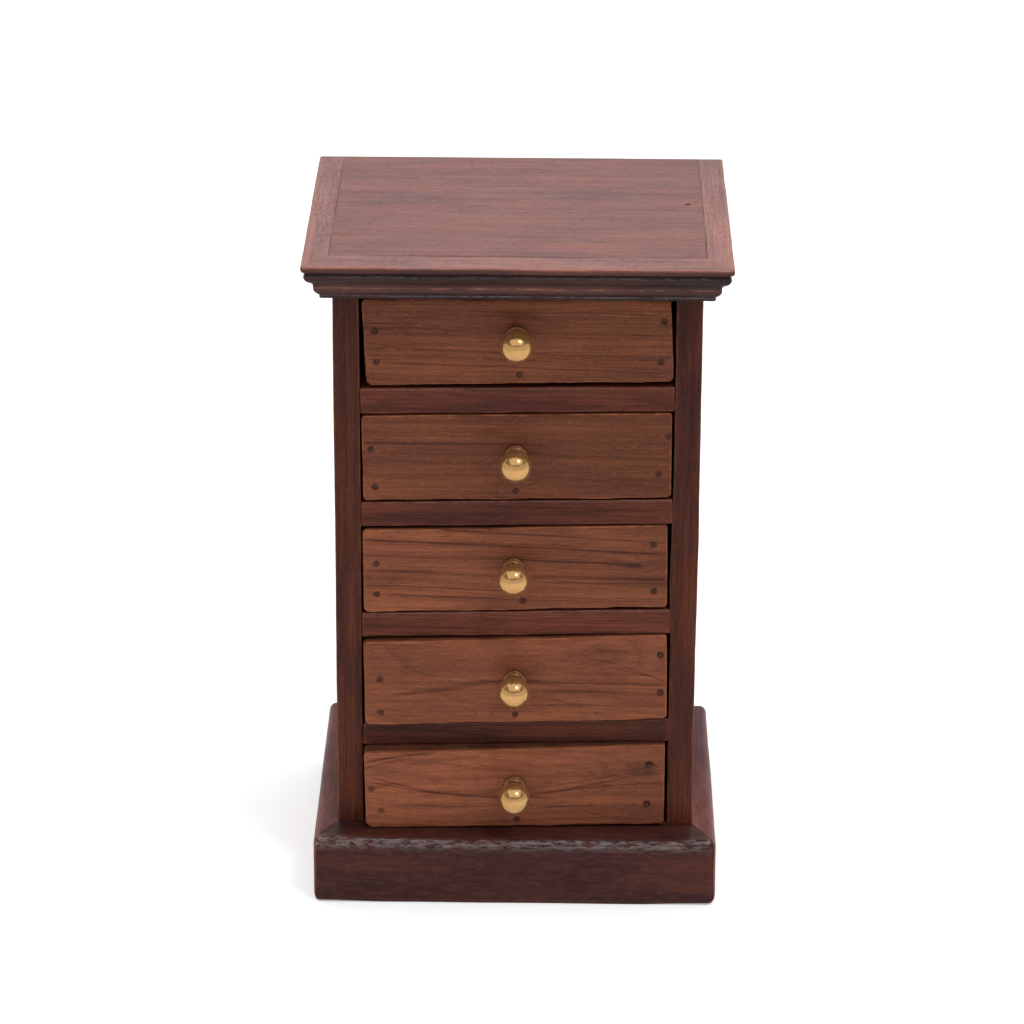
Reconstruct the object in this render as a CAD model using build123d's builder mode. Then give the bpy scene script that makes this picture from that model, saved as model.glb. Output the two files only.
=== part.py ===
from build123d import *
from math import sqrt
import os

# Small wooden chest of five drawers, in millimetres. X runs to the right, Y to the back and Z up.
# The origin is on the ground under the middle of the moulded top, which is the widest and deepest piece.
# The drawers stand as far out of the case as their last use left them.

# ---------------------------------------------------------------- driving dimensions

# Overall size, over the moulded top
overall_width = 152.4
overall_depth = 130.0
overall_height = 252.0

# How far the moulded top stands out beyond the case
top_overhang_side = 9.95
top_overhang_front = 21.6
top_overhang_back = 1.8

# Widths in plan of the cornice strips round the top board
cornice_front_width = 14.0
cornice_side_width = 9.3

# Cornice profile from the top down. Each band has its height, how far it steps back from the
# band above (less than zero steps out), and how far a rounded band bulges from its chord.
cornice_bands = (
    (2.0, 0.0, 0.0),  # lip
    (1.2, 1.9, 0.0),  # groove's upper side
    (0.7, -0.8, 0.0),  # groove's lower side
    (3.0, 2.3, 0.7),  # upper round
    (0.8, 0.7, 0.0),  # shoulder
    (2.2, 0.2, 0.0),  # flat band
    (2.1, 1.6, 0.5),  # lower round
    (0.2, 0.3, 0.0),  # small step
    (1.2, 0.1, 0.0),  # foot
)
flat_band = 5  # place of the flat band in the list, counted from nought

# Case
side_thickness = 9.5
shelf_thickness = 9.5
case_top_thickness = 4.7
housing_depth = 2.5
housing_stop = 6.0
bottom_bay_height = 32.8
back_panel_thickness = 4.0
back_rebate_width = 5.0
edge_easing = 0.6

# Base strips
base_height = 26.1
base_overhang_side = 8.65
base_overhang_front = 16.0
base_front_corner_radius = 3.2
base_back_corner_radius = 4.5
base_top_rounding = 3.0
base_foot_rounding = 1.2

# Drawers, with the lists from the top one down
drawer_proud = (0.0, 0.4, 0.6, 2.0, 5.0)
front_thickness = 10.0
front_side_gap = 1.25
front_gap_below = 0.9
front_gap_above = 0.6
front_rounding = 0.8
box_running_gap = 0.35
box_inset = 0.3
box_side_thickness = 7.0
box_side_drop = 3.5
box_back_thickness = 6.0
box_back_drop = 1.5
box_back_gap = 4.0
box_bottom_thickness = 5.0
box_bottom_lift = 0.55

# Knobs: how far each stands above and to the right of the middle of its front
knob_rise = (2.5, 0.7, 0.3, 0.0, 1.0)
knob_shift = (-0.3, -0.4, -1.0, -0.5, -0.2)
knob_ball_diameter = 12.0
knob_ball_reach = 10.5
knob_foot_diameter = 8.6
knob_foot_thickness = 0.9
knob_neck_diameter = 5.4
knob_ring_diameter = 7.2
knob_ring_width = 1.2

# Knob screws
screw_diameter = 3.0
screw_grip_in_knob = 6.5
screw_thread_gap = 0.03
screw_hole_gap = 0.2
screw_head_diameter = 5.8
screw_head_height = 1.8
screw_head_rounding = 0.6
screw_slot_width = 0.8
screw_slot_depth = 0.9
screw_tip_space = 0.8

# Pins: one thickness in four lengths
pin_diameter = 1.3
pin_head_diameter = 2.0
pin_head_thickness = 0.7
pin_punch = 0.4
pin_gap = 0.03
long_pin = 22.0
drawer_pin = 18.0
short_pin = 15.0
back_pin = 12.0

# Pins at the ends of each drawer front: how far above its middle they are, as shares of its
# height, in the order left upper, left lower, right upper, right lower
front_pin_shares = (
    (0.14, -0.22, 0.24, -0.25),
    (0.11, -0.34, 0.23, -0.22),
    (0.09, -0.28, 0.27, -0.30),
    (0.05, -0.35, 0.27, -0.18),
    (0.03, -0.27, 0.26, -0.24),
)

# How far right of the middle of its drawer side's end each of those pins stands, and last how far
# right of the knob the pin below it stands
front_pin_shifts = (
    (0.4, 0.3, 1.1, -0.6, 0.2),
    (-0.5, 0.5, 2.6, -0.9, -0.2),
    (1.0, 0.9, -1.3, -1.0, 3.7),
    (2.0, 2.1, 1.4, 1.5, 0.3),
    (-1.3, 2.1, -1.9, -2.6, 0.9),
)

# How far above the middle of its drawer's bottom the pin below each knob stands
low_pin_lifts = (1.2, 0.8, 1.2, 0.5, 0.2)

# How far other pins stand in from the edge or end of what they hold
case_pin_inset = 14.0
top_pin_inset = 20.0
base_pin_height = 8.0
base_pin_drop = 2.2
cornice_pin_inset = 26.0
back_pin_inset = 27.0
box_pin_inset = 24.0
box_back_pin_inset = 3.3

# ---------------------------------------------------------------- worked-out places

drawer_count = len(drawer_proud)
cornice_height = sum(drop for drop, setback, bulge in cornice_bands)

top_half_width = overall_width / 2
top_front = -overall_depth / 2
top_back = overall_depth / 2
board_half_width = top_half_width - cornice_side_width
board_front = top_front + cornice_front_width

case_half_width = top_half_width - top_overhang_side
inner_half_width = case_half_width - side_thickness
housing_edge = inner_half_width + housing_depth
rebate_edge = inner_half_width + back_rebate_width
case_front = top_front + top_overhang_front
case_back = top_back - top_overhang_back
case_middle = (case_front + case_back) / 2
case_height = overall_height - cornice_height
case_top_underside = case_height - case_top_thickness
panel_front = case_back - back_panel_thickness
housing_front = case_front + housing_stop

base_half_width = case_half_width + base_overhang_side
base_front_face = case_front - base_overhang_front

# Bays from the top down: the upper ones share what the bottom one leaves
upper_bay_count = drawer_count - 1
upper_bay_height = (
    case_top_underside - base_height - bottom_bay_height - upper_bay_count * shelf_thickness
) / upper_bay_count
bay_heights = [upper_bay_height] * upper_bay_count + [bottom_bay_height]
bay_floors = [
    case_top_underside - sum(bay_heights[: index + 1]) - index * shelf_thickness
    for index in range(drawer_count)
]

# Drawer boxes
front_half_width = inner_half_width - front_side_gap
box_half_width = front_half_width - box_inset
box_inner_half_width = box_half_width - box_side_thickness
drawer_length = panel_front - case_front - box_back_gap

# ---------------------------------------------------------------- shared shapes


def block(xs, ys, zs, mode=Mode.ADD):
    """A square-edged block over three spans, each a low and a high value."""
    low = Vector(xs[0], ys[0], zs[0])
    size = [span[1] - span[0] for span in (xs, ys, zs)]
    with Locations(low):
        Box(*size, align=(Align.MIN, Align.MIN, Align.MIN), mode=mode)


def sideways(hand, inner, outer):
    """The span in X from inner to outer, on the left (-1) or the right (1)."""
    return sorted((hand * inner, hand * outer))


def housed_board(zs):
    """A board across the case: its ends enter the sides' housings, which stop short of the front."""
    block((-inner_half_width, inner_half_width), (case_front, panel_front), zs)
    block((-housing_edge, housing_edge), (housing_front, panel_front), zs)


def pin_frame(point, outward):
    """Where a pin's head ends up: punched in below a point on the wood's face."""
    return Plane(origin=point, z_dir=outward).offset(-pin_punch).location


def pins(frames, length):
    """Driven pins: a flat head on a plain shank."""
    with Locations(*frames):
        Cylinder(pin_diameter / 2, length, align=(Align.CENTER, Align.CENTER, Align.MAX))
        Cylinder(pin_head_diameter / 2, pin_head_thickness, align=(Align.CENTER, Align.CENTER, Align.MAX))


def pin_holes(frames, length):
    """Holes for driven pins, open at the wood's face."""
    with Locations(*frames):
        CounterBoreHole(
            radius=pin_diameter / 2 + pin_gap,
            counter_bore_radius=pin_head_diameter / 2 + pin_gap,
            counter_bore_depth=pin_head_thickness + pin_gap,
            depth=length + pin_gap,
        )


def keep_mitred_front(inner, outer, height):
    """Keeps what lies in front of the two mitre lines, each from an inner to an outer corner."""
    beyond = (2 * outer[0] - inner[0], 2 * outer[1] - inner[1])
    with BuildSketch(Plane.XY) as kept:
        with BuildLine():
            Polyline((-inner[0], inner[1]), inner, beyond, (-beyond[0], beyond[1]), close=True)
        make_face()
    extrude(kept.sketch, amount=height, mode=Mode.INTERSECT)


def keep_mitred_side(inner, outer, back, height, hand):
    """Keeps the strip behind the mitre line at the left (-1) or the right (1)."""
    beyond = (2 * outer[0] - inner[0], 2 * outer[1] - inner[1])
    corners = (inner, beyond, (beyond[0], back), (inner[0], back))
    with BuildSketch(Plane.XY) as kept:
        with BuildLine():
            Polyline(*[(hand * x, y) for x, y in corners], close=True)
        make_face()
    extrude(kept.sketch, amount=height, mode=Mode.INTERSECT)


def save(builder, name):
    """Labels a finished piece and writes it under its own name."""
    builder.part.label = name
    export_step(builder.part, f"parts/{name}.step")


# ---------------------------------------------------------------- pin places in the case

board_levels = [floor - shelf_thickness / 2 for floor in bay_floors]
side_middle = case_half_width - side_thickness / 2
end_pin_x = housing_edge + pin_diameter
case_pin_ys = (case_front + case_pin_inset, panel_front - case_pin_inset)
top_pin_ys = (case_front + top_pin_inset, case_middle, panel_front - top_pin_inset)
base_pin_ys = (case_pin_ys[0], case_middle, case_pin_ys[1])
cornice_pin_xs = (-board_half_width + cornice_pin_inset, 0, board_half_width - cornice_pin_inset)

# The cornice's pins go into its flat band
flat_band_drop, flat_band_setback, flat_band_bulge = cornice_bands[flat_band]
bands_above = cornice_bands[:flat_band]
flat_band_level = overall_height - sum(band[0] for band in bands_above) - flat_band_drop / 2
flat_band_recess = sum(band[1] for band in bands_above) + flat_band_setback / 2


def side_pins(hand):
    """Through a side panel into the ends of the shelves, the bottom board and the case's top."""
    levels = board_levels + [case_height - case_top_thickness / 2]
    return [pin_frame((hand * case_half_width, y, z), (hand, 0, 0)) for z in levels for y in case_pin_ys]


def top_pins(hand):
    """Down through the top board into the upper end of a side panel."""
    return [pin_frame((hand * side_middle, y, overall_height), (0, 0, 1)) for y in top_pin_ys]


def base_front_pins(hand):
    """Through the base's front strip into the front edge of a side panel."""
    levels = (base_pin_height, base_height - base_pin_drop)
    return [pin_frame((hand * end_pin_x, base_front_face, z), (0, -1, 0)) for z in levels]


def base_side_pins(hand):
    """Through one of the base's side strips into the side panel behind it."""
    return [pin_frame((hand * base_half_width, y, base_pin_height), (hand, 0, 0)) for y in base_pin_ys]


def cornice_side_pins(hand):
    """Through one of the cornice's side strips into the edge of the top board."""
    face = hand * (top_half_width - flat_band_recess)
    return [pin_frame((face, y, flat_band_level), (hand, 0, 0)) for y in case_pin_ys]


def cornice_front_pins():
    """Through the cornice's front strip into the front edge of the top board."""
    face = top_front + flat_band_recess
    return [pin_frame((x, face, flat_band_level), (0, -1, 0)) for x in cornice_pin_xs]


def back_pins(xs):
    """Through the back panel, level with the middle of each shelf and of the bottom board."""
    return [pin_frame((x, case_back, z), (0, 1, 0)) for z in board_levels for x in xs]


all_side_pins = side_pins(-1) + side_pins(1)
all_top_pins = top_pins(-1) + top_pins(1)
all_base_front_pins = base_front_pins(-1) + base_front_pins(1)
all_base_side_pins = base_side_pins(-1) + base_side_pins(1)
all_cornice_side_pins = cornice_side_pins(-1) + cornice_side_pins(1)
back_pins_in_boards = back_pins((-back_pin_inset, back_pin_inset))
back_pins_in_sides = back_pins((-end_pin_x, end_pin_x))

hands = {"left": -1, "right": 1}
os.makedirs("parts", exist_ok=True)

# ---------------------------------------------------------------- base strips

base_inner_corner = (case_half_width, case_front)
base_outer_corner = (base_half_width, base_front_face)


def base_block():
    """The block that the base strips are cut from, rounded on its outside."""
    with BuildSketch(Plane.XY) as outline:
        with Locations((0, (base_front_face + case_back) / 2)):
            Rectangle(2 * base_half_width, case_back - base_front_face)
        corner_rows = vertices().group_by(Axis.Y)
        fillet(corner_rows[0], radius=base_front_corner_radius)
        fillet(corner_rows[-1], radius=base_back_corner_radius)
    extrude(outline.sketch, amount=base_height)
    fillet(faces().sort_by(Axis.Z)[-1].edges(), radius=base_top_rounding)
    fillet(faces().sort_by(Axis.Z)[0].edges(), radius=base_foot_rounding)


with BuildPart() as base_front:
    base_block()
    keep_mitred_front(base_inner_corner, base_outer_corner, base_height)
    pin_holes(all_base_front_pins, long_pin)
save(base_front, "base_front")

for side_name, hand in hands.items():
    with BuildPart() as base_side:
        base_block()
        keep_mitred_side(base_inner_corner, base_outer_corner, case_back, base_height, hand)
        pin_holes(base_side_pins(hand), short_pin)
    save(base_side, f"base_{side_name}")

# ---------------------------------------------------------------- case

board_heights = [(floor - shelf_thickness, floor) for floor in bay_floors]
case_top_heights = (case_top_underside, case_height)

for side_name, hand in hands.items():
    panel_span = sideways(hand, inner_half_width, case_half_width)
    housing_span = sideways(hand, inner_half_width, housing_edge)
    rebate_span = sideways(hand, inner_half_width, rebate_edge)
    with BuildPart() as case_side:
        block(panel_span, (case_front, case_back), (0, case_height))
        fillet(faces().sort_by(Axis.Y)[0].edges().filter_by(Axis.Z), radius=edge_easing)
        # Housings for the shelves, the bottom board and the case's top
        for heights in board_heights + [case_top_heights]:
            block(housing_span, (housing_front, panel_front), heights, mode=Mode.SUBTRACT)
        # Rebate for the back panel
        block(rebate_span, (panel_front, case_back), (0, case_height), mode=Mode.SUBTRACT)
        pin_holes(side_pins(hand) + top_pins(hand) + base_front_pins(hand), long_pin)
        pin_holes(base_side_pins(hand), short_pin)
        pin_holes(back_pins((hand * end_pin_x,)), back_pin)
    save(case_side, f"case_side_{side_name}")

board_names = [f"shelf_{index + 1}" for index in range(upper_bay_count)] + ["bottom_board"]
for board_name, heights in zip(board_names, board_heights):
    with BuildPart() as board:
        housed_board(heights)
        fillet(faces().sort_by(Axis.Y)[0].edges().filter_by(Axis.X), radius=edge_easing)
        pin_holes(all_side_pins, long_pin)
        pin_holes(back_pins_in_boards, back_pin)
    save(board, board_name)

with BuildPart() as case_top:
    housed_board(case_top_heights)
    pin_holes(all_side_pins, long_pin)
save(case_top, "case_top")

with BuildPart() as back_panel:
    block((-rebate_edge, rebate_edge), (panel_front, case_back), (0, case_height))
    pin_holes(back_pins_in_boards + back_pins_in_sides, back_pin)
save(back_panel, "back_panel")

# ---------------------------------------------------------------- top board and cornice

board_corner = (board_half_width, board_front)
top_corner = (top_half_width, top_front)


def cornice_edge(lip, inward):
    """Draws the moulded edge from the lip down, stepping inward (1 or -1), and returns its foot."""
    recess = 0.0
    height = overall_height
    for drop, setback, bulge in cornice_bands:
        start = (lip + inward * recess, height)
        middle = (lip + inward * (recess + setback / 2 - bulge), height - drop / 2)
        recess += setback
        height -= drop
        end = (lip + inward * recess, height)
        if bulge:
            ThreePointArc(start, middle, end)
        else:
            Line(start, end)
    return end


def moulded_top():
    """The whole top before it is cut into board and strips, moulded in front and at both sides."""
    with BuildSketch(Plane.YZ) as front_profile:
        with BuildLine():
            foot = cornice_edge(top_front, 1)
            Polyline(foot, (top_back, case_height), (top_back, overall_height), (top_front, overall_height))
        make_face()
    extrude(front_profile.sketch, amount=top_half_width, both=True)
    with BuildSketch(Plane.XZ) as side_profile:
        with BuildLine():
            left_foot = cornice_edge(-top_half_width, 1)
            right_foot = cornice_edge(top_half_width, -1)
            Line(left_foot, right_foot)
            Line((-top_half_width, overall_height), (top_half_width, overall_height))
        make_face()
    extrude(side_profile.sketch, amount=overall_depth, both=True, mode=Mode.INTERSECT)


with BuildPart() as top_board:
    block((-board_half_width, board_half_width), (board_front, top_back), (case_height, overall_height))
    pin_holes(all_top_pins + cornice_front_pins(), long_pin)
    pin_holes(all_cornice_side_pins, short_pin)
save(top_board, "top_board")

with BuildPart() as cornice_front:
    moulded_top()
    keep_mitred_front(board_corner, top_corner, overall_height)
    pin_holes(cornice_front_pins(), long_pin)
save(cornice_front, "cornice_front")

for side_name, hand in hands.items():
    with BuildPart() as cornice_side:
        moulded_top()
        keep_mitred_side(board_corner, top_corner, top_back, overall_height, hand)
        pin_holes(cornice_side_pins(hand), short_pin)
    save(cornice_side, f"cornice_{side_name}")

# ---------------------------------------------------------------- pins in the case

with BuildPart() as case_pins:
    pins(all_side_pins + all_top_pins, long_pin)
save(case_pins, "case_pins")

with BuildPart() as strip_pins:
    pins(all_base_front_pins + cornice_front_pins(), long_pin)
    pins(all_base_side_pins + all_cornice_side_pins, short_pin)
save(strip_pins, "strip_pins")

with BuildPart() as back_panel_pins:
    pins(back_pins_in_boards + back_pins_in_sides, back_pin)
save(back_panel_pins, "back_panel_pins")

# ---------------------------------------------------------------- drawers

knob_ball_radius = knob_ball_diameter / 2
knob_neck_radius = knob_neck_diameter / 2
knob_foot_radius = knob_foot_diameter / 2
knob_ball_start = knob_ball_reach - sqrt(knob_ball_radius**2 - knob_neck_radius**2)
knob_ring_start = knob_ball_start - knob_ring_width
knob_hollow = knob_foot_radius - knob_neck_radius


def knob_half():
    """Half the knob's section, along its axis from the foot to the tip of the ball."""
    foot_corner = (knob_foot_thickness, knob_foot_radius)
    hollow_centre = (knob_foot_thickness + knob_hollow, knob_foot_radius)
    hollow_middle = (hollow_centre[0] - knob_hollow * sqrt(0.5), hollow_centre[1] - knob_hollow * sqrt(0.5))
    hollow_end = (hollow_centre[0], knob_neck_radius)
    ring_start = (knob_ring_start, knob_neck_radius)
    ring_top = (knob_ring_start + knob_ring_width / 2, knob_ring_diameter / 2)
    ball_start = (knob_ball_start, knob_neck_radius)
    ball_tip = (knob_ball_reach + knob_ball_radius, 0)
    with BuildLine() as outline:
        Polyline(ball_tip, (0, 0), (0, knob_foot_radius), foot_corner)
        ThreePointArc(foot_corner, hollow_middle, hollow_end)
        Line(hollow_end, ring_start)
        ThreePointArc(ring_start, ring_top, ball_start)
        ThreePointArc(ball_start, (knob_ball_reach, knob_ball_radius), ball_tip)
    make_face(outline.edges())


for index, proud in enumerate(drawer_proud):
    name = f"drawer_{index + 1}"
    floor = bay_floors[index]
    ceiling = floor + bay_heights[index]

    # Where this drawer's pieces begin and end
    front_face = case_front - proud
    front_back = front_face + front_thickness
    box_back = front_face + drawer_length
    front_bottom = floor + front_gap_below
    front_top = ceiling - front_gap_above
    front_middle = (front_bottom + front_top) / 2
    front_height = front_top - front_bottom
    box_underside = floor + box_running_gap
    side_top = front_top - box_side_drop
    bottom_underside = box_underside + box_bottom_lift
    bottom_upper_face = bottom_underside + box_bottom_thickness
    bottom_middle = (bottom_underside + bottom_upper_face) / 2
    back_top = side_top - box_back_drop
    back_front = box_back - box_back_thickness
    knob_x = knob_shift[index]
    knob_z = front_middle + knob_rise[index]

    # Where its pins go
    side_pin_x = box_half_width - box_side_thickness / 2
    pin_xs = (-side_pin_x, -side_pin_x, side_pin_x, side_pin_x, knob_x)
    pin_zs = [front_middle + share * front_height for share in front_pin_shares[index]]
    pin_zs.append(bottom_middle + low_pin_lifts[index])
    front_pins = [
        pin_frame((x + shift, front_face, z), (0, -1, 0))
        for x, shift, z in zip(pin_xs, front_pin_shifts[index], pin_zs)
    ]
    back_pin_levels = (bottom_upper_face + box_back_pin_inset, back_top - box_back_pin_inset)
    box_pin_points = [(y, bottom_middle) for y in (front_face + box_pin_inset, box_back - box_pin_inset)]
    box_pin_points += [(box_back - box_back_thickness / 2, z) for z in back_pin_levels]
    box_pins = {
        hand: [pin_frame((hand * box_half_width, y, z), (hand, 0, 0)) for y, z in box_pin_points]
        for hand in hands.values()
    }
    all_box_pins = box_pins[-1] + box_pins[1]

    with BuildPart() as front:
        block((-front_half_width, front_half_width), (front_face, front_back), (front_bottom, front_top))
        fillet(faces().sort_by(Axis.Y)[0].edges(), radius=front_rounding)
        pin_holes(front_pins, drawer_pin)
        with Locations(Plane(origin=(knob_x, front_face, knob_z), z_dir=(0, -1, 0)).location):
            Hole(radius=screw_diameter / 2 + screw_hole_gap)
    save(front, f"{name}_front")

    for side_name, hand in hands.items():
        with BuildPart() as side:
            side_span = sideways(hand, box_inner_half_width, box_half_width)
            block(side_span, (front_back, box_back), (box_underside, side_top))
            pin_holes(front_pins + box_pins[hand], drawer_pin)
        save(side, f"{name}_side_{side_name}")

    inner_span = (-box_inner_half_width, box_inner_half_width)
    with BuildPart() as back:
        block(inner_span, (back_front, box_back), (bottom_upper_face, back_top))
        pin_holes(all_box_pins, drawer_pin)
    save(back, f"{name}_back")

    with BuildPart() as bottom:
        block(inner_span, (front_back, box_back), (bottom_underside, bottom_upper_face))
        pin_holes(front_pins + all_box_pins, drawer_pin)
    save(bottom, f"{name}_bottom")

    with BuildPart() as drawer_pins:
        pins(front_pins + all_box_pins, drawer_pin)
    save(drawer_pins, f"{name}_pins")

    with BuildPart() as knob:
        axis_plane = Plane(origin=(knob_x, front_face, knob_z), x_dir=(0, -1, 0), z_dir=(1, 0, 0))
        with BuildSketch(axis_plane):
            knob_half()
        revolve(axis=Axis((knob_x, front_face, knob_z), (0, -1, 0)))
        with BuildSketch(Plane(origin=(knob_x, front_face, knob_z), z_dir=(0, -1, 0))):
            Circle(screw_diameter / 2 + screw_thread_gap)
        extrude(amount=screw_grip_in_knob + screw_tip_space, mode=Mode.SUBTRACT)
    save(knob, f"{name}_knob")

    with BuildPart() as screw:
        head_seat = Plane(origin=(knob_x, front_back, knob_z), z_dir=(0, 1, 0))
        with BuildSketch(head_seat):
            Circle(screw_head_diameter / 2)
        extrude(amount=screw_head_height)
        fillet(faces().sort_by(Axis.Y)[-1].edges(), radius=screw_head_rounding)
        with BuildSketch(head_seat.offset(screw_head_height)):
            Rectangle(screw_head_diameter, screw_slot_width)
        extrude(amount=-screw_slot_depth, mode=Mode.SUBTRACT)
        with BuildSketch(head_seat):
            Circle(screw_diameter / 2)
        extrude(amount=-(front_thickness + screw_grip_in_knob))
    save(screw, f"{name}_knob_screw")
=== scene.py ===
import math

import bpy
import numpy as np
from mathutils import Matrix, Vector

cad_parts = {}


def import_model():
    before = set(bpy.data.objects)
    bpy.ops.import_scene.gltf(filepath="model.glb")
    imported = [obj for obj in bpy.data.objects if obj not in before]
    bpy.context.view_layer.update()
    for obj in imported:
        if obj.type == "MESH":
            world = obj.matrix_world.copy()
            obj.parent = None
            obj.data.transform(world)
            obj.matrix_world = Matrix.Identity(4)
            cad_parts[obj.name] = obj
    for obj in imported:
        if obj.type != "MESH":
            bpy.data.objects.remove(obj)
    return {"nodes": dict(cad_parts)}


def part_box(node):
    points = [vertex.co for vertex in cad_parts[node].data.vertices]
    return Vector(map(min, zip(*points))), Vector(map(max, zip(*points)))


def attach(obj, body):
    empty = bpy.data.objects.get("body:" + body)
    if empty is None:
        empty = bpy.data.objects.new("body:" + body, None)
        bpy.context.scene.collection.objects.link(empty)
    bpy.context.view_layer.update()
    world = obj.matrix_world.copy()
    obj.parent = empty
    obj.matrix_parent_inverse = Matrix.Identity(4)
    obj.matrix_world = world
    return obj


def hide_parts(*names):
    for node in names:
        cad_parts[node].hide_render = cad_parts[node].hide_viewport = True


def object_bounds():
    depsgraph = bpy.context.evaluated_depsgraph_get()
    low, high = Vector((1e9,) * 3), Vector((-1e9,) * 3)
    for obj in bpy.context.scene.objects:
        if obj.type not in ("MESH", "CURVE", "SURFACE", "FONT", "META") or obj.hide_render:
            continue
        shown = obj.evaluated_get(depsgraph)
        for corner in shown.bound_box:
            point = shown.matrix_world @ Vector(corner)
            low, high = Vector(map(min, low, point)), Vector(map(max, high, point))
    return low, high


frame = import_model()
cad_low, cad_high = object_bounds()

MM = 0.001
CAD_LOW, CAD_HIGH = np.array(cad_low), np.array(cad_high)
DRAWERS = (1, 2, 3, 4, 5)

# ---- camera

CAMERA_PLACE = (0.01192, -1.46176, 0.7327)
CAMERA_DOWN = math.radians(22.28)  # how far it looks down
CAMERA_ROLL = math.radians(0.3)
CAMERA_TURN = math.radians(-0.55)
CAMERA_LENS = 148.23  # millimetres, as is the sensor's width
CAMERA_SENSOR = 36.0
CAMERA_CLIP = (0.05, 60.0)


def added(name, data):
    """A new object in the scene."""
    item = bpy.data.objects.new(name, data)
    bpy.context.scene.collection.objects.link(item)
    return item


def make_camera():
    """The camera at the photograph's place and angle."""
    look = Vector((
        math.sin(CAMERA_TURN) * math.cos(CAMERA_DOWN),
        math.cos(CAMERA_TURN) * math.cos(CAMERA_DOWN),
        -math.sin(CAMERA_DOWN),
    ))
    level = Vector((math.cos(CAMERA_TURN), -math.sin(CAMERA_TURN), 0))
    up = level.cross(look)
    right = level * math.cos(CAMERA_ROLL) + up * math.sin(CAMERA_ROLL)
    top = up * math.cos(CAMERA_ROLL) - level * math.sin(CAMERA_ROLL)
    turned = Matrix((right, top, -look)).transposed().to_4x4()
    data = bpy.data.cameras.new("camera")
    data.sensor_width = CAMERA_SENSOR
    data.lens = CAMERA_LENS
    data.clip_start, data.clip_end = CAMERA_CLIP
    camera = added("camera", data)
    camera.matrix_world = Matrix.Translation(CAMERA_PLACE) @ turned
    bpy.context.scene.camera = camera


# ---- shader nodes


class Shader:
    """A material's or world's nodes. An input is a number, a colour or another node's output."""

    def __init__(self, owner):
        self.owner = owner
        owner.use_nodes = True
        self.tree = owner.node_tree
        self.tree.nodes.clear()

    def add(self, kind, inputs, out=0, **settings):
        """A new node, as that one of its outputs."""
        node = self.tree.nodes.new(kind)
        for key, value in settings.items():
            setattr(node, key, value)
        for key, value in inputs.items():
            if isinstance(value, bpy.types.NodeSocket):
                self.tree.links.new(value, node.inputs[key])
            else:
                node.inputs[key].default_value = value
        return node.outputs[out] if len(node.outputs) else None

    def math(self, operation, *values, clamp=False):
        inputs = dict(enumerate(values))
        return self.add("ShaderNodeMath", inputs, operation=operation, use_clamp=clamp)

    def plus(self, a, b, clamp=False):
        return self.math("ADD", a, b, clamp=clamp)

    def minus(self, a, b):
        return self.math("SUBTRACT", a, b)

    def times(self, a, b):
        return self.math("MULTIPLY", a, b)

    def times_plus(self, a, b, c):
        return self.math("MULTIPLY_ADD", a, b, c)

    def vector(self, operation, *values):
        out = "Value" if operation == "LENGTH" else "Vector"
        return self.add("ShaderNodeVectorMath", dict(enumerate(values)), out, operation=operation)

    def scaled(self, vector, amount):
        return self.add("ShaderNodeVectorMath", {0: vector, "Scale": amount}, operation="SCALE")

    def place(self):
        """The place on the piece, in millimetres."""
        return self.scaled(self.add("ShaderNodeTexCoord", {}, "Object"), 1 / MM)

    def parts(self, vector):
        """The three values of a place."""
        node = self.tree.nodes.new("ShaderNodeSeparateXYZ")
        self.tree.links.new(vector, node.inputs[0])
        return node.outputs

    def stretched(self, vector, along, across):
        """The place, scaled so that a pattern's grains are that long and wide, in millimetres."""
        return self.vector("MULTIPLY", vector, (1 / along, 1 / across, 1 / across))

    def noise(self, vector, detail, roughness, out="Fac", offset=0.0):
        shifted = self.vector("ADD", vector, (offset, offset * 1.7, offset * 0.6))
        inputs = {"Vector": shifted, "Scale": 1.0, "Detail": detail, "Roughness": roughness}
        return self.add("ShaderNodeTexNoise", inputs, out)

    def blend(self, value, low, high, to_low=0.0, to_high=1.0):
        """A smooth step from one value to another as the input goes from low to high."""
        inputs = {"Value": value, "From Min": low, "From Max": high, "To Min": to_low, "To Max": to_high}
        return self.add("ShaderNodeMapRange", inputs, interpolation_type="SMOOTHSTEP")

    def mix(self, factor, a, b, kind="MIX"):
        a, b = ((*colour, 1.0) if isinstance(colour, tuple) else colour for colour in (a, b))
        return self.add("ShaderNodeMix", {0: factor, 6: a, 7: b}, 2, data_type="RGBA", blend_type=kind)

    def toward(self, colour, where, strength, target):
        """The colour, turned that strongly to the target where the pattern is strong."""
        return self.mix(self.times(where, strength), colour, target)

    def curve(self, value, stops):
        """A grey value that follows the stops, each a position and a height."""
        node = self.tree.nodes.new("ShaderNodeValToRGB")
        ramp = node.color_ramp
        ramp.elements[0].position, ramp.elements[1].position = stops[0][0], stops[-1][0]
        for position, _ in stops[1:-1]:
            ramp.elements.new(position)
        for element, (_, height) in zip(ramp.elements, stops):
            element.color = (height, height, height, 1)
        self.tree.links.new(value, node.inputs[0])
        return node.outputs[0]

    def attribute(self, name):
        return self.add("ShaderNodeAttribute", {}, "Fac", attribute_name=name)

    def bump(self, height, strength, distance):
        inputs = {"Height": height, "Strength": strength, "Distance": distance * MM}
        return self.add("ShaderNodeBump", inputs)

    def finish(self, settings):
        surface = self.add("ShaderNodeBsdfPrincipled", settings)
        self.add("ShaderNodeOutputMaterial", {"Surface": surface})
        return self.owner


# ---- wood

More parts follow.
